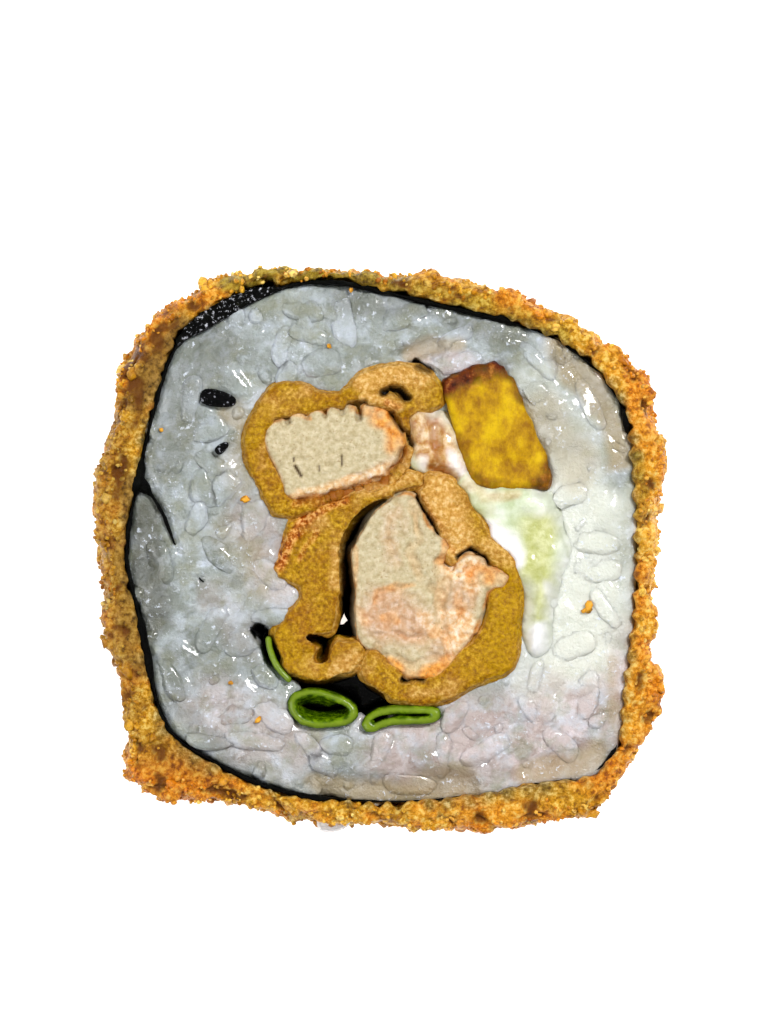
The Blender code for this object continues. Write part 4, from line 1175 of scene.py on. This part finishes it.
def crust_coat(material):
    """The fried coat, rough outside and smoother beside the seaweed, and how far out its points lie."""
    nori = near_points("nori")
    outer = near_points("crust", lambda p: 3.0 < p.z < 19.0 and nori.find((p.x, p.y, 0.0))[2] > 0.9)
    piece = node_copy("crust")
    gap, faces_out = beside_nori(piece, nori)
    thicker = 0.5 * faces_out * (1 - soft_step(gap, 0.5, 1.1))
    settled(piece, points_of(piece) + normals_of(piece) * thicker[:, None])
    remeshed(piece, CRUST_VOXEL)
    points = points_of(piece)
    inner_gap, faces_out = beside_nori(piece, nori)
    _, outer_gap = nearest_in(outer, points)
    outward = inner_gap / (inner_gap + outer_gap + 1e-6)
    rough = soft_step(outward, 0.12, 0.45)
    swell = layered_noise(points, 0.8, 2, 83)
    lumps = 0.85 * domes(points, 2.5, 80) + 0.6 * domes(points, 1.15, 81) + 0.3 * swell
    lift = 0.16 + rough * lumps + (1 - rough) * (0.16 + 0.25 * swell)
    lift += 0.7 * rough * (domes(points, 4.2, 85) - 0.25)
    lift += 0.45 * (1 - rough) * marked(points, *NORI_THIN)
    lift *= np.where(points[:, 2] < 0.4, 0.3, 1.0)
    lift = np.where(faces_out, np.maximum(lift, 0.75 - inner_gap), lift)
    points = settled(piece, points + normals_of(piece) * lift[:, None], FACE + 0.5)
    uneven = outward + 0.14 * smooth_noise(points, 1.6, 84)
    # hollow is painted shade where the surface sinks; shaded and bright are painted shade and painted light.
    store(piece, outward=uneven, hollow=soft_step(-lift, 0, 0.45) * rough)
    paint(piece, warped(points, 0.8, 2), ripe=CRUST_RIPE, olive=CRUST_OLIVE, shaded=CRUST_SHADED,
          bright=CRUST_PAINTED_LIGHT)
    finish_piece(piece, "crust", material, "crust")
    return piece, outward


def crumb_shape(rng, fineness):
    """A jagged crumb of size 1."""
    bm = bmesh.new()
    bmesh.ops.create_icosphere(bm, subdivisions=fineness, radius=0.5)
    points = np.array([v.co[:] for v in bm.verts])
    faces = np.array([[v.index for v in f.verts] for f in bm.faces])
    bm.free()
    shift = rng.uniform(0, 90)
    rough = 1 + 0.5 * smooth_noise(points + shift, 0.32, 91) + 0.2 * smooth_noise(points + shift, 0.16, 92)
    return points * rough[:, None], faces


def lay_crumbs(heap, rng, coat, outward, count, sizes, fineness):
    """Stick crumbs of some sizes all over the coat's outer side and its rims."""
    shapes = [crumb_shape(rng, fineness) for _ in range(12)]
    points, normals = points_of(coat), normals_of(coat)
    tried = rng.sample(range(len(points)), len(points) // 2)
    kept = [k for k in tried if outward[k] > rng.uniform(0.3, 0.65)][:count]
    places = points[kept]
    tone = 0.5 + 0.5 * layered_noise(places, 3, 2, 93)
    patches = 0.8 * soft_step(layered_noise(places, 3.4, 2, 94), 0.1, 0.6)
    ripe = np.maximum(marked(places, *CRUST_RIPE), patches)
    # Painted shade and painted light for each crumb.
    shaded = marked(places, *CRUST_SHADED)
    bright = marked(places, *CRUST_PAINTED_LIGHT)
    for k, shade, redder, darker, lighter in zip(kept, tone, ripe, shaded, bright):
        size = rng.uniform(*sizes)
        shape, faces = shapes[rng.randrange(len(shapes))]
        scale = (size * rng.uniform(0.9, 1.3), size * rng.uniform(0.7, 1.0), size * rng.uniform(0.6, 0.9))
        body = turned(shape * scale, rng.uniform(0, 6.3), rng.uniform(-1.5, 1.5), rng.uniform(0, 6.3))
        shade = min(1.0, max(0.0, shade + rng.uniform(-0.35, 0.35)))
        heap.add(body + points[k] - normals[k] * size * 0.05, faces, ripe=redder, shaded=darker,
                 bright=lighter, shade=shade)


def make_crumbs(coat, outward, material):
    """The crumbs of the coat, a few larger ones among many small ones."""
    rng = random.Random(7)
    heap = Heap()
    lay_crumbs(heap, rng, coat, outward, 700, (0.7, 1.3), 2)
    lay_crumbs(heap, rng, coat, outward, 7000, (0.3, 0.7), 1)
    piece = heap.piece("crust_crumbs")
    settled(piece, points_of(piece), FACE + 0.65)
    finish_piece(piece, "crust", material)


# Small things that lie on the rice or are caught in the crumbs.
LOOSE_CRUMBS = [
    ((-13.6, 5.1), 0.9), ((20.8, -5.7), 1.1), ((20.3, -6.1), 0.6), ((-12.3, -17.0), 0.7),
    ((-15.0, -13.3), 0.5), ((-22.0, 12.0), 0.5), ((-5.2, 20.4), 0.5), ((-3.0, 26.0), 0.5),
]
STUCK_GRAIN_PLACE = (-4.8, -27.4, 18.6)
STUCK_GRAIN_SIZE = (3.4, 2.2, 1.8)


def make_seeds(material):
    """The two black sesame seeds, each narrower at one end."""
    heap = Heap()
    narrow = 1 - 0.35 * np.clip(GRAIN_POINTS[:, 0] + 0.5, 0, 1)
    for (x, y), turn, length, width in SEEDS:
        points = GRAIN_POINTS * (length, width, 1.0)
        points[:, 1] *= narrow
        heap.add(turned(points, math.radians(turn)) + (x, y, RICE_FACE + 0.75), GRAIN_FACES)
    finish_piece(heap.piece("sesame_seeds"), "rice", material)


def make_loose_crumbs(material):
    """Tiny orange crumbs that fell on the rice."""
    rng = random.Random(15)
    heap = Heap()
    for (x, y), size in LOOSE_CRUMBS:
        shape, faces = crumb_shape(rng, 2)
        body = turned(shape * (size, size * 0.8, size * 0.6), rng.uniform(0, 6))
        heap.add(body + (x, y, RICE_FACE + 0.65), faces, shade=0.6, ripe=0.5, shaded=0, bright=0)
    finish_piece(heap.piece("loose_crumbs"), "crust", material)


def make_stuck_grain(material):
    """The rice grain that is caught in the crumbs at the lower edge."""
    heap = Heap()
    points = turned(GRAIN_POINTS * STUCK_GRAIN_SIZE, math.radians(12), 0.1)
    # Its pink and pale values are painted warm light and painted light, and it has no painted shade.
    heap.add(points + STUCK_GRAIN_PLACE, GRAIN_FACES, shade=1, pink=1, pale=0.4, gold=0, dim=0)
    piece = heap.piece("stuck_grain")
    settled(piece, points_of(piece))
    finish_piece(piece, "rice", material)


# The surroundings.
def make_floor():
    """A plain pale floor under the slice."""
    mesh = bpy.data.meshes.new("floor")
    corners = [(x * FLOOR_HALF * MM, y * FLOOR_HALF * MM, 0) for x, y in ((-1, -1), (1, -1), (1, 1), (-1, 1))]
    mesh.from_pydata(corners, [], [(0, 1, 2, 3)])
    floor = new_object("floor", mesh)
    floor.location.z = cad_low[2] - FLOOR_GAP * MM
    mesh.materials.append(floor_material())


def make_light(name, place, size, power, colour):
    """A soft square light that faces the slice."""
    data = bpy.data.lights.new(name, "AREA")
    data.size = size * MM
    data.energy = power
    data.color = colour
    light = new_object(name, data)
    light.location = Vector(place) * MM
    light.rotation_euler = (-light.location).to_track_quat("-Z", "Y").to_euler()


def make_lights():
    """Plain soft studio light, a little stronger from the upper right."""
    make_light("key", (340, 340, 700), 160, 7.0, (1.0, 1.0, 1.0))
    make_light("fill", (-500, -200, 600), 500, 3.6, (0.98, 0.99, 1.0))
    world = bpy.data.worlds.new("soft_room")
    world.use_nodes = True
    background = world.node_tree.nodes["Background"]
    background.inputs["Color"].default_value = WHITE
    background.inputs["Strength"].default_value = 0.17
    bpy.context.scene.world = world
    bpy.context.scene.view_settings.view_transform = "Standard"


def make_camera():
    """The camera over the cut face, framed as the photo is."""
    data = bpy.data.cameras.new("camera")
    camera = new_object("camera", data)
    x = (PHOTO_WIDTH / 2 - CENTRE_PIXEL[0]) / PIXELS_PER_MM
    y = (CENTRE_PIXEL[1] - PHOTO_HEIGHT / 2) / PIXELS_PER_MM
    camera.location = (x * MM, y * MM, (FACE + CAMERA_HEIGHT) * MM)
    data.sensor_fit = "VERTICAL"
    data.sensor_height = 24.0
    data.lens = data.sensor_height * CAMERA_HEIGHT / (PHOTO_HEIGHT / PIXELS_PER_MM)
    data.clip_end = 10.0
    bpy.context.scene.camera = camera


def main():
    """Build the whole picture."""
    rice = rice_material()
    crumbs = crumb_material()
    batter = batter_material()
    chicken = chicken_material()
    scallion = scallion_material()
    make_camera()
    make_floor()
    make_lights()
    make_rice_core(rice)
    make_rice_grains(rice)
    for node in ("batter_upper", "batter_tail", "batter_lower"):
        make_batter(node, batter)
    for node in ("chicken_upper", "chicken_lower"):
        make_chicken(node, chicken)
    make_potato(potato_material())
    make_cream(cream_material())
    for node, middle in SCALLIONS.items():
        make_scallion(node, middle, scallion)
    make_nori(nori_material())
    coat, outward = crust_coat(crust_material())
    make_crumbs(coat, outward, crumbs)
    make_seeds(seed_material())
    make_loose_crumbs(crumbs)
    make_stuck_grain(rice)


main()
